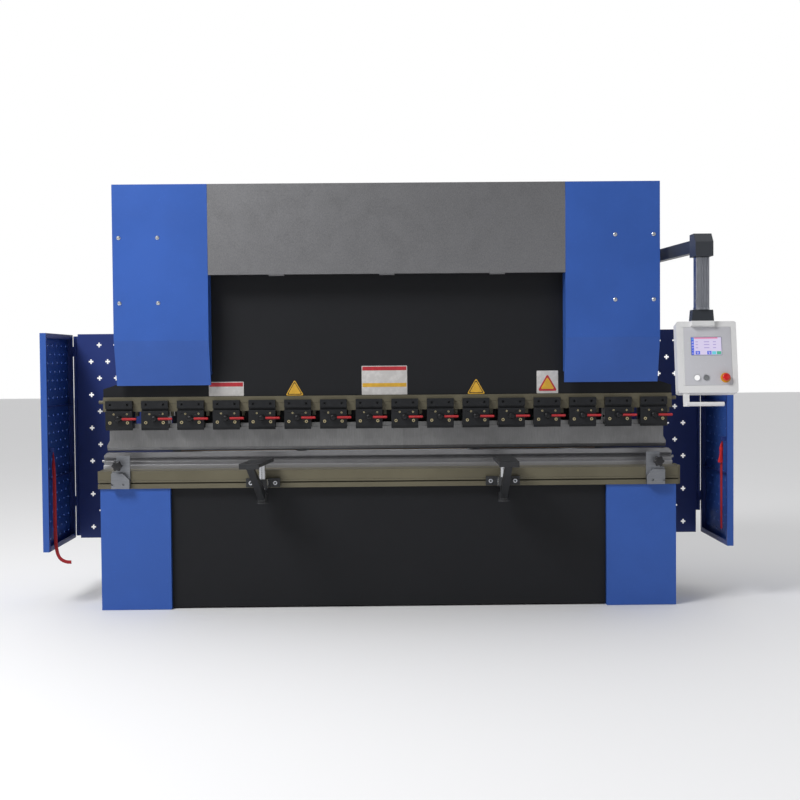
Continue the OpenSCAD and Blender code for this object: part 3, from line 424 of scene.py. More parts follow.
def polished(name, colour, roughness):
    """Chrome, zinc or brass: bright metal with faint wipe marks."""
    f = Finish(name, colour, roughness, metallic=1.0)
    wipe = f.noise(22.0, 5.0, 0.7, stretch=(1.0, 1.0, 5.0))
    f.set("Base Color", f.mix(f.mask(wipe, 0.4, 0.7), shade(f.colour, 0.85), f.colour))
    f.set("Roughness", roughness + 0.12 * wipe)
    return f


def webbing(name, colour):
    """Woven webbing: ribs across the strap, with threads between them."""
    f = Finish(name, colour, 0.75)
    x, y, z = f.axes()
    rib = f.math("SINE", z * (2 * math.pi / RIB_PITCH))
    thread = f.math("SINE", y * (2 * math.pi / THREAD_PITCH))
    weave = (rib * thread + 1.0) * 0.5
    fuzz = f.noise(300.0, 3.0, 0.7)
    f.set("Base Color", f.mix(weave * 0.6 + fuzz * 0.3, shade(f.colour, 0.55),
                              shade(f.colour, 1.15)))
    f.bump(weave, 0.6, 0.5 * MM)
    return f


def glowing(name, colour, strength=1.0):
    """A lit display or lens: its colour shows as light, with a faint grid of dots."""
    f = Finish(name, shade(colour, 0.3), 0.2)
    x, y, z = f.axes()
    dots = f.math("SINE", x * (2 * math.pi / DOT_PITCH))
    f.set("Emission Color", f.mix(dots * 0.06 + 0.06, linear(colour), shade(linear(colour), 0.8)))
    f.set("Emission Strength", strength)
    return f


# ---- Sizes and colours a user may change ----

def colour_property(name, description, default):
    """A colour as seen on a screen, from 0 to 1."""
    return FloatVectorProperty(name=name, description=description, default=default,
                               subtype="COLOR_GAMMA", size=3, min=0, max=1)


def length_property(name, description, millimetres):
    """A length given in millimetres and kept in metres."""
    return FloatProperty(name=name, description=description, default=millimetres * MM,
                         unit="LENGTH")


class PressBrakeSizes(bpy.types.PropertyGroup):
    """Sizes of the fine pieces."""

    sleeve_diameter: length_property(
        "Sleeve Diameter", "Outside diameter of a clamp lever's red sleeve", 15)
    sleeve_ribs: IntProperty(
        name="Sleeve Ribs", description="Number of grip ribs along a lever's sleeve", default=16,
        min=4, max=40)
    hub_diameter: length_property("Hub Diameter", "Outside diameter of a clamp lever's hub", 34)
    knob_diameter: length_property(
        "Knob Diameter", "Largest diameter of a star knob on a die end plate", 60)
    knob_lobes: IntProperty(
        name="Knob Lobes", description="Number of lobes round a star knob", default=6,
        min=3, max=12)
    label_thickness: length_property(
        "Label Thickness", "Thickness of a plate stuck on the ram", 0.8)
    screen_width: length_property(
        "Screen Width", "Width of the lit part of the control's screen", 154)
    screen_height: length_property(
        "Screen Height", "Height of the lit part of the control's screen", 92)
    strap_thickness: length_property(
        "Strap Thickness", "Thickness of a door strap's webbing", 3.2)
    lens: FloatProperty(
        name="Lens", description="Focal length of the camera on a 36 mm sensor",
        default=56.25, min=10, max=300)


class PressBrakeColours(bpy.types.PropertyGroup):
    """Colours of the finishes."""

    blue: colour_property("Blue", "Powder coat of the covers", (0.215, 0.37, 0.69))
    # the guards' navy is painted shade: the covers' blue darkened for the guards' faces that lie
    # in shadow
    guard_shade_blue: colour_property("Guard Blue", "Powder coat of the side guards",
                                (0.17, 0.24, 0.5))
    black: colour_property("Black", "Paint of the ram and the apron", (0.085, 0.09, 0.105))
    khaki: colour_property("Khaki", "Paint of the rails", (0.41, 0.39, 0.32))
    stainless: colour_property("Stainless", "Satin steel of the fascia", (0.62, 0.62, 0.63))
    clamp: colour_property("Clamp", "Black oxide of the punch clamps", (0.15, 0.155, 0.165))
    sleeve: colour_property("Sleeve", "Rubber sleeve of a clamp lever", (0.72, 0.13, 0.16))
    strap: colour_property("Strap", "Webbing of the door straps", (0.68, 0.1, 0.13))
    control: colour_property("Control", "Powder coat of the control box", (0.89, 0.89, 0.89))


def sizes():
    """The sizes set in the panel."""
    return bpy.context.scene.press_brake_sizes


def colours():
    """The colours set in the panel."""
    return bpy.context.scene.press_brake_colours


# ---- The finishes of this machine ----

FINISHES = {}


def finish(name):
    """A finish's material by its slot name."""
    return FINISHES[name].material


BARE_METAL = 0.45


def with_edges(f, radius=1.5 * MM, wear=0.35):
    """Rounds the look of sharp edges and lightens the paint along them where it has worn."""
    bevel = f.node("ShaderNodeBevel", {"samples": 4}, {"Radius": radius})
    flat = f.node("ShaderNodeNewGeometry", output=1)
    turned = f.node("ShaderNodeVectorMath", {"operation": "DOT_PRODUCT"}, {0: bevel, 1: flat},
                    output=1)
    for node in f.tree.nodes:
        if node.type == "BUMP":
            f.tree.links.new(bevel.socket, node.inputs["Normal"])
    if wear:
        edge = f.mask(1.0 - turned, 0.01, 0.2) * f.mask(f.noise(40.0, 4.0, 0.7), 0.42, 0.62)
        light = tuple(0.5 * (c + BARE_METAL) for c in f.colour)
        f.set("Base Color", f.mix(edge * wear, f.now("Base Color"), light))
    return f


SEGMENT = 835 * MM
SHORT_SEGMENT = 180 * MM
POST_Y = -762 * MM
POST_RADIUS = 20.4 * MM
POST_Z = (592 * MM, 815.7 * MM)
NARROWING_Z = (985 * MM, 999 * MM)
ELBOW_Z = (1886 * MM, 1886.5 * MM)
COLUMN_FOOT_Z = (1617 * MM, 1617.5 * MM)
NECK_Z = (1558.8 * MM, 1559.2 * MM)
SHOE_Z = (791.0 * MM, 791.8 * MM)


def chrome_post(f):
    """Turns the paint to bright chrome where a sheet support's round post stands."""
    x, y, z = f.axes()
    off = f.math("ABSOLUTE", y - POST_Y)
    post = (off < POST_RADIUS) * (z > POST_Z[0]) * (z < POST_Z[1])
    base = f.now("Base Color")
    f.set("Base Color", f.mix(post, base, (0.62, 0.63, 0.65)))
    f.set("Metallic", post * 0.95)
    f.set("Roughness", f.now("Roughness") * (1.0 - post) + post * 0.16)
    return f


def punch_finish():
    """Ground tool steel: an upright grain, a tone of its own for each segment and a dark
    band where the blade narrows to the tip."""
    f = ground_steel("punch_steel", (0.62, 0.62, 0.62), 0.42, grain=(240.0, 240.0, 5.0),
                     depth=0.3)
    x, y, z = f.axes()
    start, end = float(low("punches")[0]), float(high("punches")[0])
    number = f.math("FLOOR", (x - start) / SEGMENT)
    number = number + (x > end - SHORT_SEGMENT) * 7.0
    tone = f.node("ShaderNodeTexWhiteNoise", {"noise_dimensions": "1D"}, {"W": number})
    base = f.now("Base Color")
    cloud = f.mask(f.noise(5.0, 4.0, 0.65), 0.35, 0.7)
    toned = f.mix(tone * 0.3 + cloud * 0.25, base, (0.16, 0.16, 0.165))
    foot = f.mask(z, *NARROWING_Z)
    f.set("Base Color", f.mix(foot, toned, base))
    return f


def arm_finish():
    """The control's arm: a dark anodised beam, a slate elbow and a bright column."""
    f = ground_steel("arm_aluminium", (0.66, 0.67, 0.7), 0.3, grain=(200.0, 200.0, 4.0),
                     depth=0.1)
    x, y, z = f.axes()
    slate = f.mask(z, *ELBOW_Z)
    foot = 1.0 - f.mask(z, *COLUMN_FOOT_Z)
    dark = f.math("MAXIMUM", slate, foot)
    base = f.now("Base Color")
    f.set("Base Color", f.mix(dark, base, (0.05, 0.055, 0.065)))
    f.set("Metallic", 1.0 - 0.7 * dark)
    return f


def dark_neck(f):
    """Turns the control's paint to slate plastic on the neck above the box."""
    x, y, z = f.axes()
    neck = f.mask(z, *NECK_Z)
    base = f.now("Base Color")
    f.set("Base Color", f.mix(neck, base, (0.035, 0.04, 0.048)))
    return f


def bright_shoe(f):
    """Paints the foot of the die, below the block, in a lighter steel than the block above it."""
    x, y, z = f.axes()
    shoe = 1.0 - f.mask(z, *SHOE_Z)
    base = f.now("Base Color")
    f.set("Base Color", f.mix(shoe, base, (0.62, 0.62, 0.65)))
    return f


def blue_over_painted_shade(f):
    """Paints the doors' outer skin and front flange in the covers' blue, over navy inside; the
    navy is painted shade, the same blue darkened where the guards lie in shadow.
    """
    x, y, z = f.axes()
    out = f.math("ABSOLUTE", x)
    # mask of the lit outer skin and front flange; the rest keeps the navy painted shade
    skin = f.math("MAXIMUM", out > float(high("door_right")[0]) - 3 * MM,
                  y < float(low("door_right")[1]) + 12 * MM)
    base = f.now("Base Color")
    f.set("Base Color", f.mix(skin, base, shade(linear(colours().blue), 0.9)))
    return f


FILMS = (
    ("film_white", (0.8, 0.79, 0.78)), ("film_red", (0.72, 0.16, 0.2)),
    ("film_yellow", (0.85, 0.66, 0.2)), ("film_black", (0.13, 0.12, 0.1)))
TILES = (
    ("page_light", (0.9, 0.86, 0.98)), ("tile_pink", (0.93, 0.45, 0.62)),
    ("tile_blue", (0.3, 0.42, 0.92)), ("tile_green", (0.35, 0.74, 0.6)),
    ("tile_cyan", (0.45, 0.85, 0.92)), ("tile_lilac", (0.72, 0.66, 0.88)))


def build_finishes():
    """Makes every finish, one for each slot of the record."""
    c = colours()
    FINISHES.clear()
    made = [
        with_edges(dusty_paint("frame_paint", (0.2, 0.21, 0.24), 0.4)),
        with_edges(dusty_paint("table_paint", (0.17, 0.175, 0.19), 0.5)),
        with_edges(dusty_paint("khaki_paint", c.khaki, 0.38, dust=0.1)),
        with_edges(bright_shoe(ground_steel("die_steel", (0.6, 0.6, 0.61), 0.34)),
                                wear=0),
        with_edges(dusty_paint("blue_paint", c.blue, 0.42)),
        polished("zinc_screw", (0.85, 0.86, 0.88), 0.25),
        ground_steel("stainless", c.stainless, 0.36, grain=(120.0, 120.0, 30.0),
                                  depth=0.12, patches=0.05),
        with_edges(dusty_paint("black_panel", c.black, 0.55)),
        dusty_paint("tank_paint", (0.36, 0.37, 0.39), 0.45),
        dusty_paint("cylinder_paint", (0.3, 0.31, 0.33), 0.4),
        cast_or_oxide("pump_metal", (0.42, 0.43, 0.45), 0.5, 0.3),
        ground_steel("machined_steel", (0.62, 0.63, 0.64), 0.34),
        # guard paint: navy painted shade, with the lit outer skin and flange in the covers' blue
        with_edges(blue_over_painted_shade(dusty_paint("guard_paint", c.guard_shade_blue, 0.45)),
                                  1.0 * MM),
        with_edges(dusty_paint("cabinet_paint", (0.78, 0.785, 0.79), 0.5, 0.5)),
        with_edges(ground_steel("satin_plate", (0.58, 0.59, 0.61), 0.42), wear=0),
        with_edges(dusty_paint("ram_paint", c.black, 0.55)),
        with_edges(cast_or_oxide("clamp_black", c.clamp, 0.42)),
        polished("screw_brass", (0.9, 0.84, 0.66), 0.28),
        punch_finish(),
        polished("rod_chrome", (0.9, 0.9, 0.92), 0.08),
        moulded("lever_red", c.sleeve, 0.42, texture=0.5),
        dusty_paint("gauge_orange", (0.78, 0.5, 0.25), 0.4),
        ground_steel("finger_steel", (0.72, 0.73, 0.74), 0.3),
        chrome_post(
            cast_or_oxide("support_black", (0.16, 0.165, 0.175), 0.42, 0.0)),
        with_edges(cast_or_oxide("arm_black", (0.15, 0.155, 0.165), 0.4, 0.0)),
        moulded("knob_plastic", (0.12, 0.12, 0.13), 0.36, texture=0.25),
        webbing("strap_web", c.strap),
        arm_finish(),
        dark_neck(dusty_paint("pendant_paint", c.control, 0.42, 0.45)),
        moulded("estop_red", (0.84, 0.1, 0.1), 0.25, coat=0.4, texture=0.05),
        glowing("button_white", (0.98, 0.98, 0.98), 0.95),
        moulded("button_grey", (0.5, 0.51, 0.52), 0.35, coat=0.2, texture=0.1),
        webbing("strap_tag", (0.88, 0.14, 0.15)),
        cast_or_oxide("hub_black", (0.11, 0.11, 0.12), 0.35, 0.3),
        dusty_paint("face_grey", (0.79, 0.79, 0.81), 0.45, 0.3),
        moulded("rim_grey", (0.5, 0.52, 0.6), 0.4, texture=0.05),
        # black for the painted shade inside screw sockets
        moulded("socket_shade_black", (0.07, 0.07, 0.08), 0.3, texture=0.05),
        moulded("collar_yellow", (0.88, 0.62, 0.12), 0.35, texture=0.1),
    ]
    made += [moulded(name, colour, 0.45, texture=0.05) for name, colour in FILMS]
    made += [glowing(name, colour, 0.8) for name, colour in TILES]
    FINISHES.update((f.name, f) for f in made)


class PRESSBRAKE_OT_finishes(bpy.types.Operator):
    """Makes the finishes and puts one on every part of the model"""

    bl_idname = "pressbrake.finishes"
    bl_label = "Finish Metalwork"

    def execute(self, context):
        build_finishes()
        for part in frame["record"]["subparts"]:
            node = frame["nodes"][part["node"]]
            name = part["material_slot"]
            if part["node"].startswith("support_arm"):
                name = "arm_black"
            node.data.materials.clear()
            node.data.materials.append(finish(name))
        return {"FINISHED"}


# ---- Camera and stage ----

CAMERA_PLACE = (0.0, -7.575, 1.372)
CAMERA_DOWN = 1.86
CAMERA_RIGHT = 0.55
CAMERA_ROLL = 0.48


class PRESSBRAKE_OT_camera(bpy.types.Operator):
    """Stands the camera in front of the machine, at the height of a person's chest"""

    bl_idname = "pressbrake.camera"
    bl_label = "Place Camera"

    def execute(self, context):
        data = bpy.data.cameras.new("camera")
        data.lens = sizes().lens
        data.sensor_width = 36
        camera = bpy.data.objects.new("camera", data)
        context.scene.collection.objects.link(camera)
        turn = (Matrix.Rotation(-math.radians(CAMERA_RIGHT), 4, "Z")
                @ Matrix.Rotation(math.radians(90 - CAMERA_DOWN), 4, "X")
                @ Matrix.Rotation(-math.radians(CAMERA_ROLL), 4, "Z"))
        camera.matrix_world = Matrix.Translation(CAMERA_PLACE) @ turn
        context.scene.camera = camera
        return {"FINISHED"}


def soft_light(name, place, aim, width, height, power, tint=(1, 1, 1)):
    """One large area light that faces a point."""
    data = bpy.data.lights.new(name, "AREA")
    data.shape = "RECTANGLE"
    data.size, data.size_y = width, height
    data.energy = power
    data.color = tint
    light = bpy.data.objects.new(name, data)
    bpy.context.scene.collection.objects.link(light)
    light.location = place
    light.rotation_euler = (Vector(aim) - Vector(place)).to_track_quat("-Z", "Y").to_euler()
    return light


def studio_world():
    """A white backdrop all round, which lights the machine less from the front."""
    world = bpy.data.worlds.new("studio")
    world.use_nodes = True
    tree = world.node_tree
    way = add_node(tree, "ShaderNodeTexCoord", output="Generated")
    depth = add_node(tree, "ShaderNodeSeparateXYZ", inputs={0: way}, output=1)
    behind = add_node(tree, "ShaderNodeMapRange", {"interpolation_type": "SMOOTHSTEP"}, {
        "Value": depth, "From Min": -0.55, "From Max": 0.35, "To Min": 0.18, "To Max": 1.0})
    seen = add_node(tree, "ShaderNodeLightPath", output="Is Camera Ray")
    strength = add_node(tree, "ShaderNodeMath", {"operation": "MAXIMUM"}, {0: behind, 1: seen})
    background = tree.nodes["Background"]
    background.inputs["Color"].default_value = (1, 1, 1, 1)
    feed(tree, background.inputs["Strength"], strength)
    return world


class PRESSBRAKE_OT_stage(bpy.types.Operator):
    """Lays a pale floor and lights it softly from a studio's sides and ceiling"""

    bl_idname = "pressbrake.stage"
    bl_label = "Build Stage"

    def execute(self, context):
        f = Finish("floor_pale", (0.93, 0.93, 0.935), 0.7)
        cloud = f.noise(0.8, 3.0, 0.5)
        f.set("Base Color", f.mix(cloud * 0.3, f.colour, shade(f.colour, 0.96)))
        side = 40.0
        step = np.linspace(-side, side, 9)
        x, y = np.meshgrid(step, step, indexing="ij")
        verts = np.column_stack([x.ravel(), y.ravel(), np.full(x.size, -1 * MM)])
        mesh = bpy.data.meshes.new("floor")
        mesh.from_pydata(verts.tolist(), [], grid_faces(9, 9, wrap=False)[:, ::-1].tolist())
        mesh.materials.append(f.material)
        floor = bpy.data.objects.new("floor", mesh)
        context.scene.collection.objects.link(floor)

        context.scene.world = studio_world()
        soft_light("key", (-4.0, -4.6, 6.2), (-0.6, -0.4, 1.7), 3.0, 2.4, 410)
        soft_light("fill", (4.2, -6.2, 2.6), (0.4, -0.4, 1.0), 2.5, 3.0, 10, (0.93, 0.95, 1))
        context.scene.view_settings.view_transform = "Standard"
        return {"FINISHED"}


# ---- Straps on the side doors ----

STRAP_DEPTH = -546 * MM
STRAP_LEFT = np.array([
    (-1884, 868), (-1884, 850), (-1883, 815), (-1882, 770), (-1880, 720), (-1880, 670),
    (-1880, 620), (-1880, 570), (-1880, 520), (-1880, 470), (-1879, 420), (-1878, 370),
    (-1875, 330), (-1868, 295), (-1856, 270), (-1838, 255), (-1814, 247), (-1792, 246)]) * MM
STRAP_RIGHT = np.array([
    (1884, 898), (1884, 880), (1883, 845), (1882, 800), (1880, 750), (1880, 700),
    (1880, 650), (1880, 600), (1880, 550), (1880, 500), (1880, 450), (1880, 400)]) * MM


def twisted_strap(points, width, thickness, turn):
    """A flat section carried along a path. At each point the section is turned about the
    path by its own angle: its width lies along cos(angle) times the direction square to the
    path in the strap's plane plus sin(angle) times the depth direction."""
    tangent = np.gradient(points, axis=0)
    tangent /= np.linalg.norm(tangent, axis=1, keepdims=True)
    depth = np.array([0.0, 1.0, 0.0])
    across = np.cross(depth, tangent)
    across /= np.linalg.norm(across, axis=1, keepdims=True)
    wide = np.cos(turn)[:, None] * across + np.sin(turn)[:, None] * depth
    thin = np.cos(turn)[:, None] * depth - np.sin(turn)[:, None] * across
    section = rounded_ring(width, thickness, 0.45 * thickness, 2)
    rings = (points[:, None] + section[None, :, :1] * wide[:, None]
             + section[None, :, 1:] * thin[:, None])
    return tube_of_rings(rings)


# The webbing's width, and how far it is turned, in degrees, at shares of its length
LEFT_WIDTH, RIGHT_WIDTH = 20 * MM, 14 * MM
LEFT_TURNS = (0, 0.07, 0.16, 0.5, 0.8, 1), (80, 55, 12, -14, 10, 4)
RIGHT_TURNS = (0, 0.1, 0.3, 1), (85, 60, 30, 62)


def hang_strap(side, route, width, turns):
    points = np.column_stack([route[:, 0], np.full(len(route), STRAP_DEPTH), route[:, 1]])
    fine = smooth_path(points, 3)
    t = np.linspace(0, 1, len(fine))
    turn = np.interp(t, turns[0], np.radians(turns[1]))
    verts, faces = twisted_strap(fine, width, sizes().strap_thickness, turn)
    strap = add_piece("strap_web_" + side, verts, faces, [finish("strap_web")], "door_" + side)
    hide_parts("strap_" + side)
    length = float(np.linalg.norm(np.diff(fine, axis=0), axis=1).sum())
    return strap, fine, length


class PRESSBRAKE_OT_straps(bpy.types.Operator):
    """Hangs the red webbing straps from the clips inside the two doors"""

    bl_idname = "pressbrake.straps"
    bl_label = "Hang Straps"

    def execute(self, context):
        left, path, length = hang_strap("left", STRAP_LEFT, LEFT_WIDTH, LEFT_TURNS)
        right, path, length = hang_strap("right", STRAP_RIGHT, RIGHT_WIDTH, RIGHT_TURNS)
        self.tag()
        return {"FINISHED"}

    def tag(self):
        """The loop of webbing sewn at the top of the right strap: a flat bow whose width
        swells, narrows to a waist and swells again along its length."""
        z = np.linspace(884, 776, 25) * MM
        t = np.linspace(0, 1, 25)
        half = np.interp(t, (0, 0.12, 0.28, 0.45, 0.62, 0.9, 1), (2, 6, 12, 8, 9.5, 14, 13.5)) * MM
        thick = np.interp(t, (0, 0.3, 0.6, 1), (2.5, 6, 5, 3)) * MM
        x = np.interp(t, (0, 0.5, 1), (1.8775, 1.876, 1.872))
        y = STRAP_DEPTH - np.interp(t, (0, 0.3, 1), (4, 11, 9)) * MM
        angle = np.linspace(0, 2 * np.pi, 20, endpoint=False)
        rings = np.stack([x[:, None] + half[:, None] * np.cos(angle),
                          y[:, None] + thick[:, None] * np.sin(angle),
                          np.repeat(z[:, None], 20, axis=1)], axis=-1)
        verts, faces = tube_of_rings(rings[::-1])
        return add_piece("strap_tag", verts, faces, [finish("strap_tag")], "door_right")


# ---- Clamp levers ----

def ribbed_sleeve(length, radius, ribs, steps=6):
    """Profile of a grip as radius and height: the radius times (0.93 + 0.07 cos) of the place
    along it, drawn in by a square root of one minus a square near the rounded end."""
    t = np.linspace(0, 1, ribs * steps + 1)
    r = radius * (0.93 + 0.07 * np.cos(2 * np.pi * ribs * t))
    tip = np.clip((1 - t) * length / (0.7 * radius), 0, 1)
    r = r * np.sqrt(1 - (1 - tip) ** 2 * 0.8)
    return np.column_stack([r, t * length])


def lever_parts(place):
    """One lever as four shells: the hub, the bare neck, the stem and the ribbed sleeve."""
    hub_r = sizes().hub_diameter / 2
    hub_low, hub_top = 0.3 * MM, 26.7 * MM
    hub = [(hub_r - 2 * MM, hub_low), (hub_r, hub_low + 2 * MM), (hub_r, hub_top - 7 * MM),
           (hub_r - 1.5 * MM, hub_top - 3.5 * MM), (hub_r - 5 * MM, hub_top - 1 * MM),
           (hub_r - 9 * MM, hub_top), (5 * MM, hub_top), (4.6 * MM, hub_top - 1.5 * MM),
           (0.5 * MM, hub_top - 1.5 * MM)]
    x, y, z = place
    boss = lathe(hub, (x, y, z), FORWARD, 36)
    grip_y = y - 17 * MM
    neck = lathe([(5 * MM, 8 * MM), (5 * MM, 22.5 * MM)], (x, grip_y, z), (1, 0, 0), 16)
    sleeve = lathe(ribbed_sleeve(80 * MM, sizes().sleeve_diameter / 2, sizes().sleeve_ribs),
                   (x + 22 * MM, grip_y, z), (1, 0, 0), 20)
    stem = lathe([(8 * MM, -25 * MM), (8 * MM, 0.4 * MM)], (x, y, z), FORWARD, 20)
    return [boss, neck, stem, sleeve]


class PRESSBRAKE_OT_levers(bpy.types.Operator):
    """Makes the sixteen clamp levers, each with a black hub and a ribbed red sleeve"""

    bl_idname = "pressbrake.levers"
    bl_label = "Make Clamp Levers"

    def execute(self, context):
        for node in LEVERS:
            place = JOINTS[node + "_turn"]["pos_m"]
            verts, faces, kind = join(lever_parts(place), (0, 0, 0, 1))
            lever = add_piece("grip_" + node, verts, faces,
                              [finish("hub_black"), finish("lever_red")], node, kind)
            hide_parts(node)
        return {"FINISHED"}


# ---- Star knobs ----

class PRESSBRAKE_OT_knobs(bpy.types.Operator):
    """Makes the two moulded star knobs that clamp the die at its ends"""

    bl_idname = "pressbrake.knobs"
    bl_label = "Make Star Knobs"

    def execute(self, context):
        lobes = sizes().knob_lobes
        depth = 0.13
        radius = sizes().knob_diameter / 2 / (1 + depth)
        head = np.array([(0.55, 0), (0.84, 0.6), (0.96, 2.6), (1.0, 6), (1.0, 16), (0.96, 20),
                         (0.86, 22.8), (0.7, 24), (0.45, 24.3), (0.42, 23.2), (0.05, 23.2)])
        profile = np.column_stack([head[:, 0] * radius, head[:, 1] * MM])
        seat, back = low("die_end_plates")[1], high("die_end_plates")[1]
        for side in ("left", "right"):
            x, _, z = JOINTS["knob_" + side + "_turn"]["pos_m"]
            centre = (x, seat - 8 * MM, z)
            star = lathe(profile, centre, FORWARD, 72, lobes, depth)
            collar = lathe([(13 * MM, -6 * MM), (13 * MM, 0.5 * MM), (12 * MM, 2 * MM)],
                           centre, FORWARD, 28)
            screw = lathe([(7.5 * MM, 0), (7.5 * MM, back - seat + 30 * MM)],
                          (x, seat - 6 * MM, z), (0, 1, 0), 24)
            verts, faces, kind = join([star, collar, screw], (0, 0, 1))
            node = "die_knob_" + side
            knob = add_piece("star_knob_" + side, verts, faces,
                             [finish("knob_plastic"), finish("zinc_screw")], node,
                             kind)
            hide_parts(node)
        return {"FINISHED"}


# ---- Plates stuck on the ram ----

LABEL_FOOT = RAM_FOOT + 2 * MM
SIGN_X = {"plate_sign_left": -525 * MM, "plate_sign_middle": 497 * MM}


def ram_plate_slab(x0, x1, z0, z1, lift=0.0, corner=3 * MM):
    """A thin plate on the ram's front between two X and two Z."""
    t = sizes().label_thickness
    centre = ((x0 + x1) / 2, RAM_FRONT - t - lift, (z0 + z1) / 2)
    return slab(centre, x1 - x0, z1 - z0, t + lift * 0.5, corner, 0.25 * MM)


def triangle_slab(x, z, width, lift, corner):
    """A thin triangle with round corners, standing on a side: each corner of a triangle with
    equal sides is swept by a third of a circle."""
    t = sizes().label_thickness
    height = width * math.sqrt(3) / 2
    centre = np.array([x, z + height / 3])
    ring = []
    inner = width / math.sqrt(3) - 2 * corner
    for k in range(3):
        mid = math.radians(90 + 120 * k)
        arc = np.linspace(mid - math.pi / 3, mid + math.pi / 3, 7)
        point = centre + inner * np.array([math.cos(mid), math.sin(mid)])
        ring.append(point + corner * np.column_stack([np.cos(arc), np.sin(arc)]))
    ring = np.concatenate(ring)
    y = RAM_FRONT - lift
    rings = np.array([np.column_stack([ring[:, 0], np.full(len(ring), y - t), ring[:, 1]]),
                      np.column_stack([ring[:, 0], np.full(len(ring), y), ring[:, 1]])])
    return tube_of_rings(rings)


class PRESSBRAKE_OT_plates(bpy.types.Operator):
    """Sticks plain coloured plates, with nothing written on them, along the foot of the ram"""

    bl_idname = "pressbrake.plates"
    bl_label = "Stick Ram Plates"

    def execute(self, context):
        z = LABEL_FOOT
        skin = 0.3 * MM
        plates = {
            "plate_left": (
                [ram_plate_slab(-1.007, -0.811, z, z + 80 * MM)],
                [ram_plate_slab(-1.003, -0.815, z + 53 * MM, z + 76 * MM, skin, 1 * MM)],
                []),
            "plate_middle": (
                [ram_plate_slab(-0.147, 0.109, z, z + 163 * MM)],
                [ram_plate_slab(-0.143, 0.105, z + 137 * MM, z + 159 * MM, skin, 1 * MM)],
                [ram_plate_slab(-0.143, 0.105, z + 44 * MM, z + 66 * MM, skin, 1 * MM)]),
            **{name: ([], [], [triangle_slab(x, z, 103 * MM, 0.0, 6 * MM)])
               for name, x in SIGN_X.items()},
            "plate_sign_right": (
                [ram_plate_slab(0.839, 0.96, z, z + 128 * MM)],
                [triangle_slab(0.8995, z + 14 * MM, 110 * MM, 0.8 * MM, 7 * MM)],
                [triangle_slab(0.8995, z + 25 * MM, 78 * MM, 1.2 * MM, 5 * MM)]),
        }
        for name, (white, red, yellow) in plates.items():
            black = []
            if name in SIGN_X:
                x = SIGN_X[name]
                black = [triangle_slab(x, z + 5 * MM, 86 * MM, 0.3 * MM, 5 * MM)]
                yellow = yellow + [triangle_slab(x, z + 9 * MM, 73 * MM, 0.6 * MM, 4 * MM)]
            shells = [(shell, k) for k, group in enumerate((white, red, yellow, black))
                      for shell in group]
            verts, faces, kind = join(*zip(*shells))
            add_piece(name, verts, faces,
                      [finish("film_" + n) for n in ("white", "red", "yellow", "black")],
                      "ram", kind)
        return {"FINISHED"}


# ---- The control on its arm ----

def on_panel(points):
    """Points given right, into and up from the middle of the control's face."""
    return np.asarray(points, dtype=float) @ PANEL_AXES.T + PANEL_FACE


def panel_slab(u0, u1, v0, v1, front, thickness, corner=2 * MM, edge=0.4 * MM):
    """A rounded slab on the control's face, its front at a given depth."""
    verts, faces = tube_of_rings(slab_rings(u1 - u0, v1 - v0, thickness, corner, edge))
    return on_panel(verts + np.array([(u0 + u1) / 2, front, (v0 + v1) / 2])), faces


def panel_lathe(profile, u, v, turns=40):
    """A turned piece on the control's face: radius and height towards the user."""
    return lathe(profile, on_panel([u, 0, v]), -PANEL_AXES[:, 1], turns)


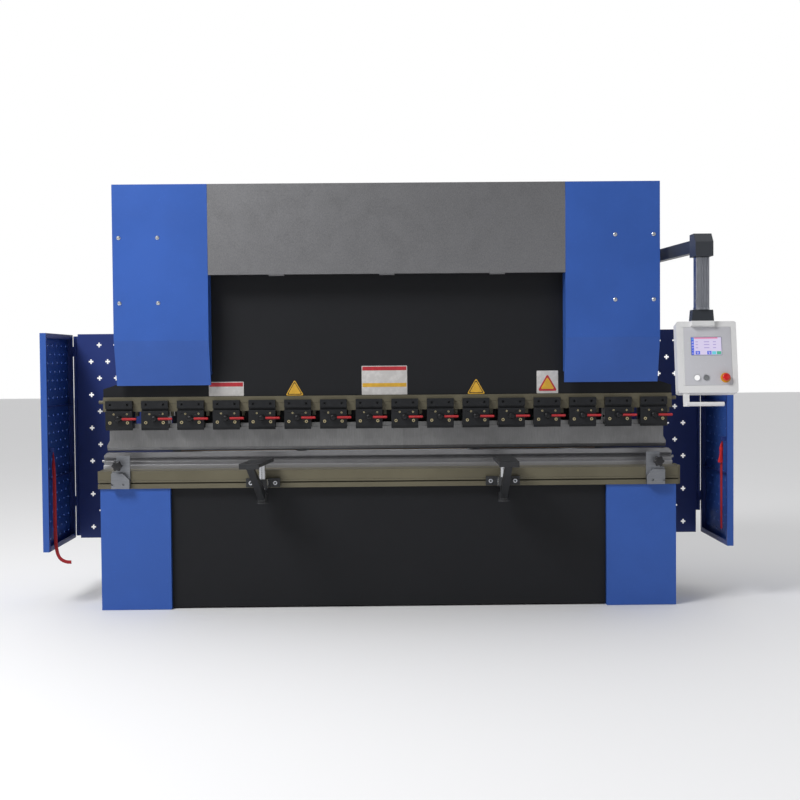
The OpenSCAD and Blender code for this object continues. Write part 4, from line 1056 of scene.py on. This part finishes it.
class PRESSBRAKE_OT_control(bpy.types.Operator):
    """Fits the control box with its face plate, its lit screen and its button rings"""

    bl_idname = "pressbrake.control"
    bl_label = "Fit Control"

    def execute(self, context):
        self.face_plate()
        self.screen()
        self.rings()
        return {"FINISHED"}

    def face_plate(self):
        """The inset plate, a slab with a strip of the box's paler paint along its left edge as a
        painted highlight.
        """
        half, low_v, high_v = 125.5 * MM, -149.5 * MM, 157.5 * MM
        plate = panel_slab(-half, half, low_v, high_v, 0.6 * MM, 2.3 * MM, 4 * MM, 0.8 * MM)
        # painted highlight: a strip in the box's paler paint, proud of the plate, along its left
        # edge
        highlight_strip = panel_slab(-half - 0.6 * MM, -half + 8 * MM, low_v, high_v, 0.2 * MM, 1.4 * MM,
                           2 * MM, 0.6 * MM)
        verts, faces, kind = join([plate, highlight_strip], (0, 1))
        add_piece("face_plate", verts, faces, [finish("face_grey"), finish("pendant_paint")],
                  "pendant_box", kind)

    def screen(self):
        """The display: a grey rim, a pale page and plain coloured tiles, with no writing."""
        w, h = sizes().screen_width / 2, sizes().screen_height / 2
        u, v = -2 * MM, 57 * MM
        rim = panel_slab(u - w - 3 * MM, u + w + 3 * MM, v - h - 3 * MM, v + h + 3 * MM,
                         0.1 * MM, 1.2 * MM, 3 * MM)
        page = panel_slab(u - w, u + w, v - h, v + h, -0.3 * MM, 0.6 * MM, 1 * MM, 0.1 * MM)
        shells = [rim, page]
        kinds = [0, 1]

        def tile(a, b, c, d, kind):
            """One tile between shares of the page's width and height."""
            shells.append(panel_slab(u - w + 2 * w * a, u - w + 2 * w * b, v - h + 2 * h * c,
                                     v - h + 2 * h * d, -0.45 * MM, 0.3 * MM, 0.5 * MM, 0.05 * MM))
            kinds.append(kind)

        tile(0.1, 0.88, 0.93, 0.99, 2)
        tile(0.0, 0.085, 0.0, 0.99, 3)
        for k in range(6):
            tile(0.015, 0.07, 0.05 + 0.16 * k, 0.13 + 0.16 * k, 5 if k == 5 else 1)
        tile(0.13, 0.28, 0.02, 0.22, 3)
        tile(0.52, 0.66, 0.02, 0.22, 3)
        tile(0.17, 0.24, 0.06, 0.18, 1)
        tile(0.56, 0.62, 0.06, 0.18, 1)
        tile(0.68, 0.82, 0.02, 0.2, 5)
        tile(0.84, 0.985, 0.02, 0.2, 4)
        for row in (0.38, 0.56, 0.72):
            tile(0.14, 0.22, row, row + 0.05, 6)
            tile(0.42, 0.6, row, row + 0.05, 6)
            tile(0.72, 0.82, row, row + 0.05, 6)
        verts, faces, kind = join(shells, kinds)
        names = ["rim_grey"] + [name for name, colour in TILES]
        add_piece("display", verts, faces, [finish(n) for n in names], "pendant_box",
                  kind)

    def rings(self):
        """Bright collars round the two buttons and a yellow one under the stop button."""
        collar = [(14.6, 0.2), (17.0, 0.2), (17.4, 1.2), (16.8, 2.6), (15.2, 3.0), (14.6, 2.6)]
        for name, u, gain in (("white", -56 * MM, 1.0), ("grey", -8 * MM, 0.94)):
            profile = np.array(collar) * MM * gain
            verts, faces = ring_shell(panel_lathe(profile, u, BUTTON_V, 48), len(profile), 48)
            add_piece("button_ring_" + name, verts, faces, [finish("zinc_screw")],
                      "pendant_box")
        guard = np.array([(12.6, -0.6), (25.5, -0.6), (26, 0.4), (25.2, 1.8), (22.5, 2.4),
                          (14.0, 2.4), (12.6, 1.8)]) * MM
        verts, faces = ring_shell(panel_lathe(guard, 90 * MM, BUTTON_V, 56), len(guard), 56)
        add_piece("stop_collar", verts, faces, [finish("collar_yellow")], "pendant_box")


def ring_shell(made, rows, turns):
    """Joins the last ring of a turned shell to its first, so that it is an open ring."""
    verts, faces = made
    last = (rows - 1) * turns
    k = np.arange(turns)
    closing = np.stack([last + k, last + (k + 1) % turns, (k + 1) % turns, k], axis=1)
    return verts, faces[:-2] + [tuple(f) for f in closing]


# ---- Screw sockets ----

# Each screw's X from the clamp's middle, Z, height of its head and its socket's radius, in mm
CLAMP_SCREWS = ((-49, 1030, 4, 4.4), (49, 1030, 4, 4.4), (-28, 1078, 2.5, 2.8),
                (46, 1078, 2.5, 2.8))


class PRESSBRAKE_OT_sockets(bpy.types.Operator):
    """Lays a flat black hexagon on each clamp screw's head as painted shade for its socket"""

    bl_idname = "pressbrake.sockets"
    bl_label = "Mark Screw Sockets"

    def execute(self, context):
        shells = []
        for node in LEVERS:
            x = JOINTS[node + "_turn"]["pos_m"][0]
            for du, z, proud, across in CLAMP_SCREWS:
                centre = (x + du * MM, CLAMP_FRONT - (proud + 0.05) * MM, z * MM)
                # a flat black hexagon, painted shade where the socket's recess would be dark
                shells.append(lathe([(across * MM, -0.6 * MM), (across * MM, 0.12 * MM),
                                     (across * 0.8 * MM, 0.15 * MM)], centre, FORWARD, 6))
        verts, faces, _ = join(shells)
        add_piece("socket_shade_hexagons", verts, faces, [finish("socket_shade_black")], "ram",
                  smooth=False)
        return {"FINISHED"}


SUPPORT_SCREW_Y = -725.2 * MM
SUPPORT_SCREW_Z = 701 * MM


class PRESSBRAKE_OT_bolts(bpy.types.Operator):
    """Sets two cap screws in each sheet support's block, with a black disc at the bottom of each
    socket as painted shade
    """

    bl_idname = "pressbrake.bolts"
    bl_label = "Set Support Screws"

    def execute(self, context):
        cap = np.array([(11.5, 0.0), (12, 0.6), (12, 5.2), (11.4, 6.4), (10.2, 7), (6.4, 7),
                        (5.8, 6.6), (5.8, 3), (0.4, 3)]) * MM
        # a black disc at the foot of the socket's recess, painted shade
        socket = np.array([(5.6, 3.1), (5.6, 3.4), (0.4, 3.4)]) * MM
        for side in ("left", "right"):
            node = "support_bracket_" + side
            block = (low(node)[0] + high(node)[0]) / 2
            shells, kinds = [], []
            for du in (-67 * MM, 67 * MM):
                centre = (block + du, SUPPORT_SCREW_Y, SUPPORT_SCREW_Z)
                shells.append(lathe(cap, centre, FORWARD, 32))
                shells.append(lathe(socket, centre, FORWARD, 6))
                kinds += [0, 1]
            verts, faces, kind = join(shells, kinds)
            add_piece("support_screws_" + side, verts, faces,
                      [finish("zinc_screw"), finish("socket_shade_black")], "support_" + side,
                      kind)
        return {"FINISHED"}


class PRESSBRAKE_OT_hinges(bpy.types.Operator):
    """Closes the gap between the guards and their doors with a continuous hinge on each side"""

    bl_idname = "pressbrake.hinges"
    bl_label = "Fit Door Hinges"

    def execute(self, context):
        for side, foot in (("left", 322 * MM), ("right", 480 * MM)):
            x, y, _ = JOINTS["door_" + side + "_hinge"]["pos_m"]
            top = high("door_" + side)[2] - 8 * MM
            knuckles = int((top - foot) / (60 * MM))
            z = np.linspace(foot, top, knuckles + 1)
            # each knuckle is straight, with a narrow groove where it meets the next
            radius = np.tile([8.2, 9.6, 9.6, 8.2], knuckles) * MM
            height = np.stack([z[:-1], z[:-1] + 0.8 * MM, z[1:] - 0.8 * MM, z[1:] - 0.01 * MM],
                              axis=1).ravel()
            tube = lathe(np.column_stack([radius, height]), (x, y, 0), (0, 0, 1), 18)
            leaf_x = math.copysign(abs(x) - 14 * MM, x)
            leaf = slab((leaf_x, y - 1.5 * MM, (foot + top) / 2), 20 * MM, top - foot, 3 * MM,
                        2 * MM, 0.6 * MM)
            verts, faces, _ = join([tube, leaf])
            add_piece("hinge_" + side, verts, faces, [finish("guard_paint")], "root")
        return {"FINISHED"}


# ---- The add-on ----

PIECES = (
    PRESSBRAKE_OT_camera,
    PRESSBRAKE_OT_finishes,
    PRESSBRAKE_OT_straps,
    PRESSBRAKE_OT_levers,
    PRESSBRAKE_OT_knobs,
    PRESSBRAKE_OT_plates,
    PRESSBRAKE_OT_control,
    PRESSBRAKE_OT_sockets,
    PRESSBRAKE_OT_bolts,
    PRESSBRAKE_OT_hinges,
    PRESSBRAKE_OT_stage,
)
CLASSES = (PressBrakeSizes, PressBrakeColours) + PIECES


class PRESSBRAKE_PT_panel(bpy.types.Panel):
    """Lists the sizes, the colours and the steps that build the looks"""

    bl_idname = "PRESSBRAKE_PT_panel"
    bl_label = "Press Brake"
    bl_space_type = "VIEW_3D"
    bl_region_type = "UI"
    bl_category = "Press Brake"

    def draw(self, context):
        column = self.layout.column()
        for group in (sizes(), colours()):
            for key in group.bl_rna.properties.keys():
                if key not in ("rna_type", "name"):
                    column.prop(group, key)
        for piece in PIECES:
            column.operator(piece.bl_idname)


def register():
    """Registers the classes and hangs the sizes and colours on the scene."""
    for cls in CLASSES + (PRESSBRAKE_PT_panel,):
        bpy.utils.register_class(cls)
    bpy.types.Scene.press_brake_sizes = PointerProperty(type=PressBrakeSizes)
    bpy.types.Scene.press_brake_colours = PointerProperty(type=PressBrakeColours)


def unregister():
    """Takes the properties and classes away again."""
    del bpy.types.Scene.press_brake_sizes
    del bpy.types.Scene.press_brake_colours
    for cls in reversed(CLASSES + (PRESSBRAKE_PT_panel,)):
        bpy.utils.unregister_class(cls)


def main():
    """Builds everything in order."""
    register()
    for piece in PIECES:
        getattr(bpy.ops.pressbrake, piece.bl_idname.split(".")[1])()


if __name__ == "__main__":
    main()
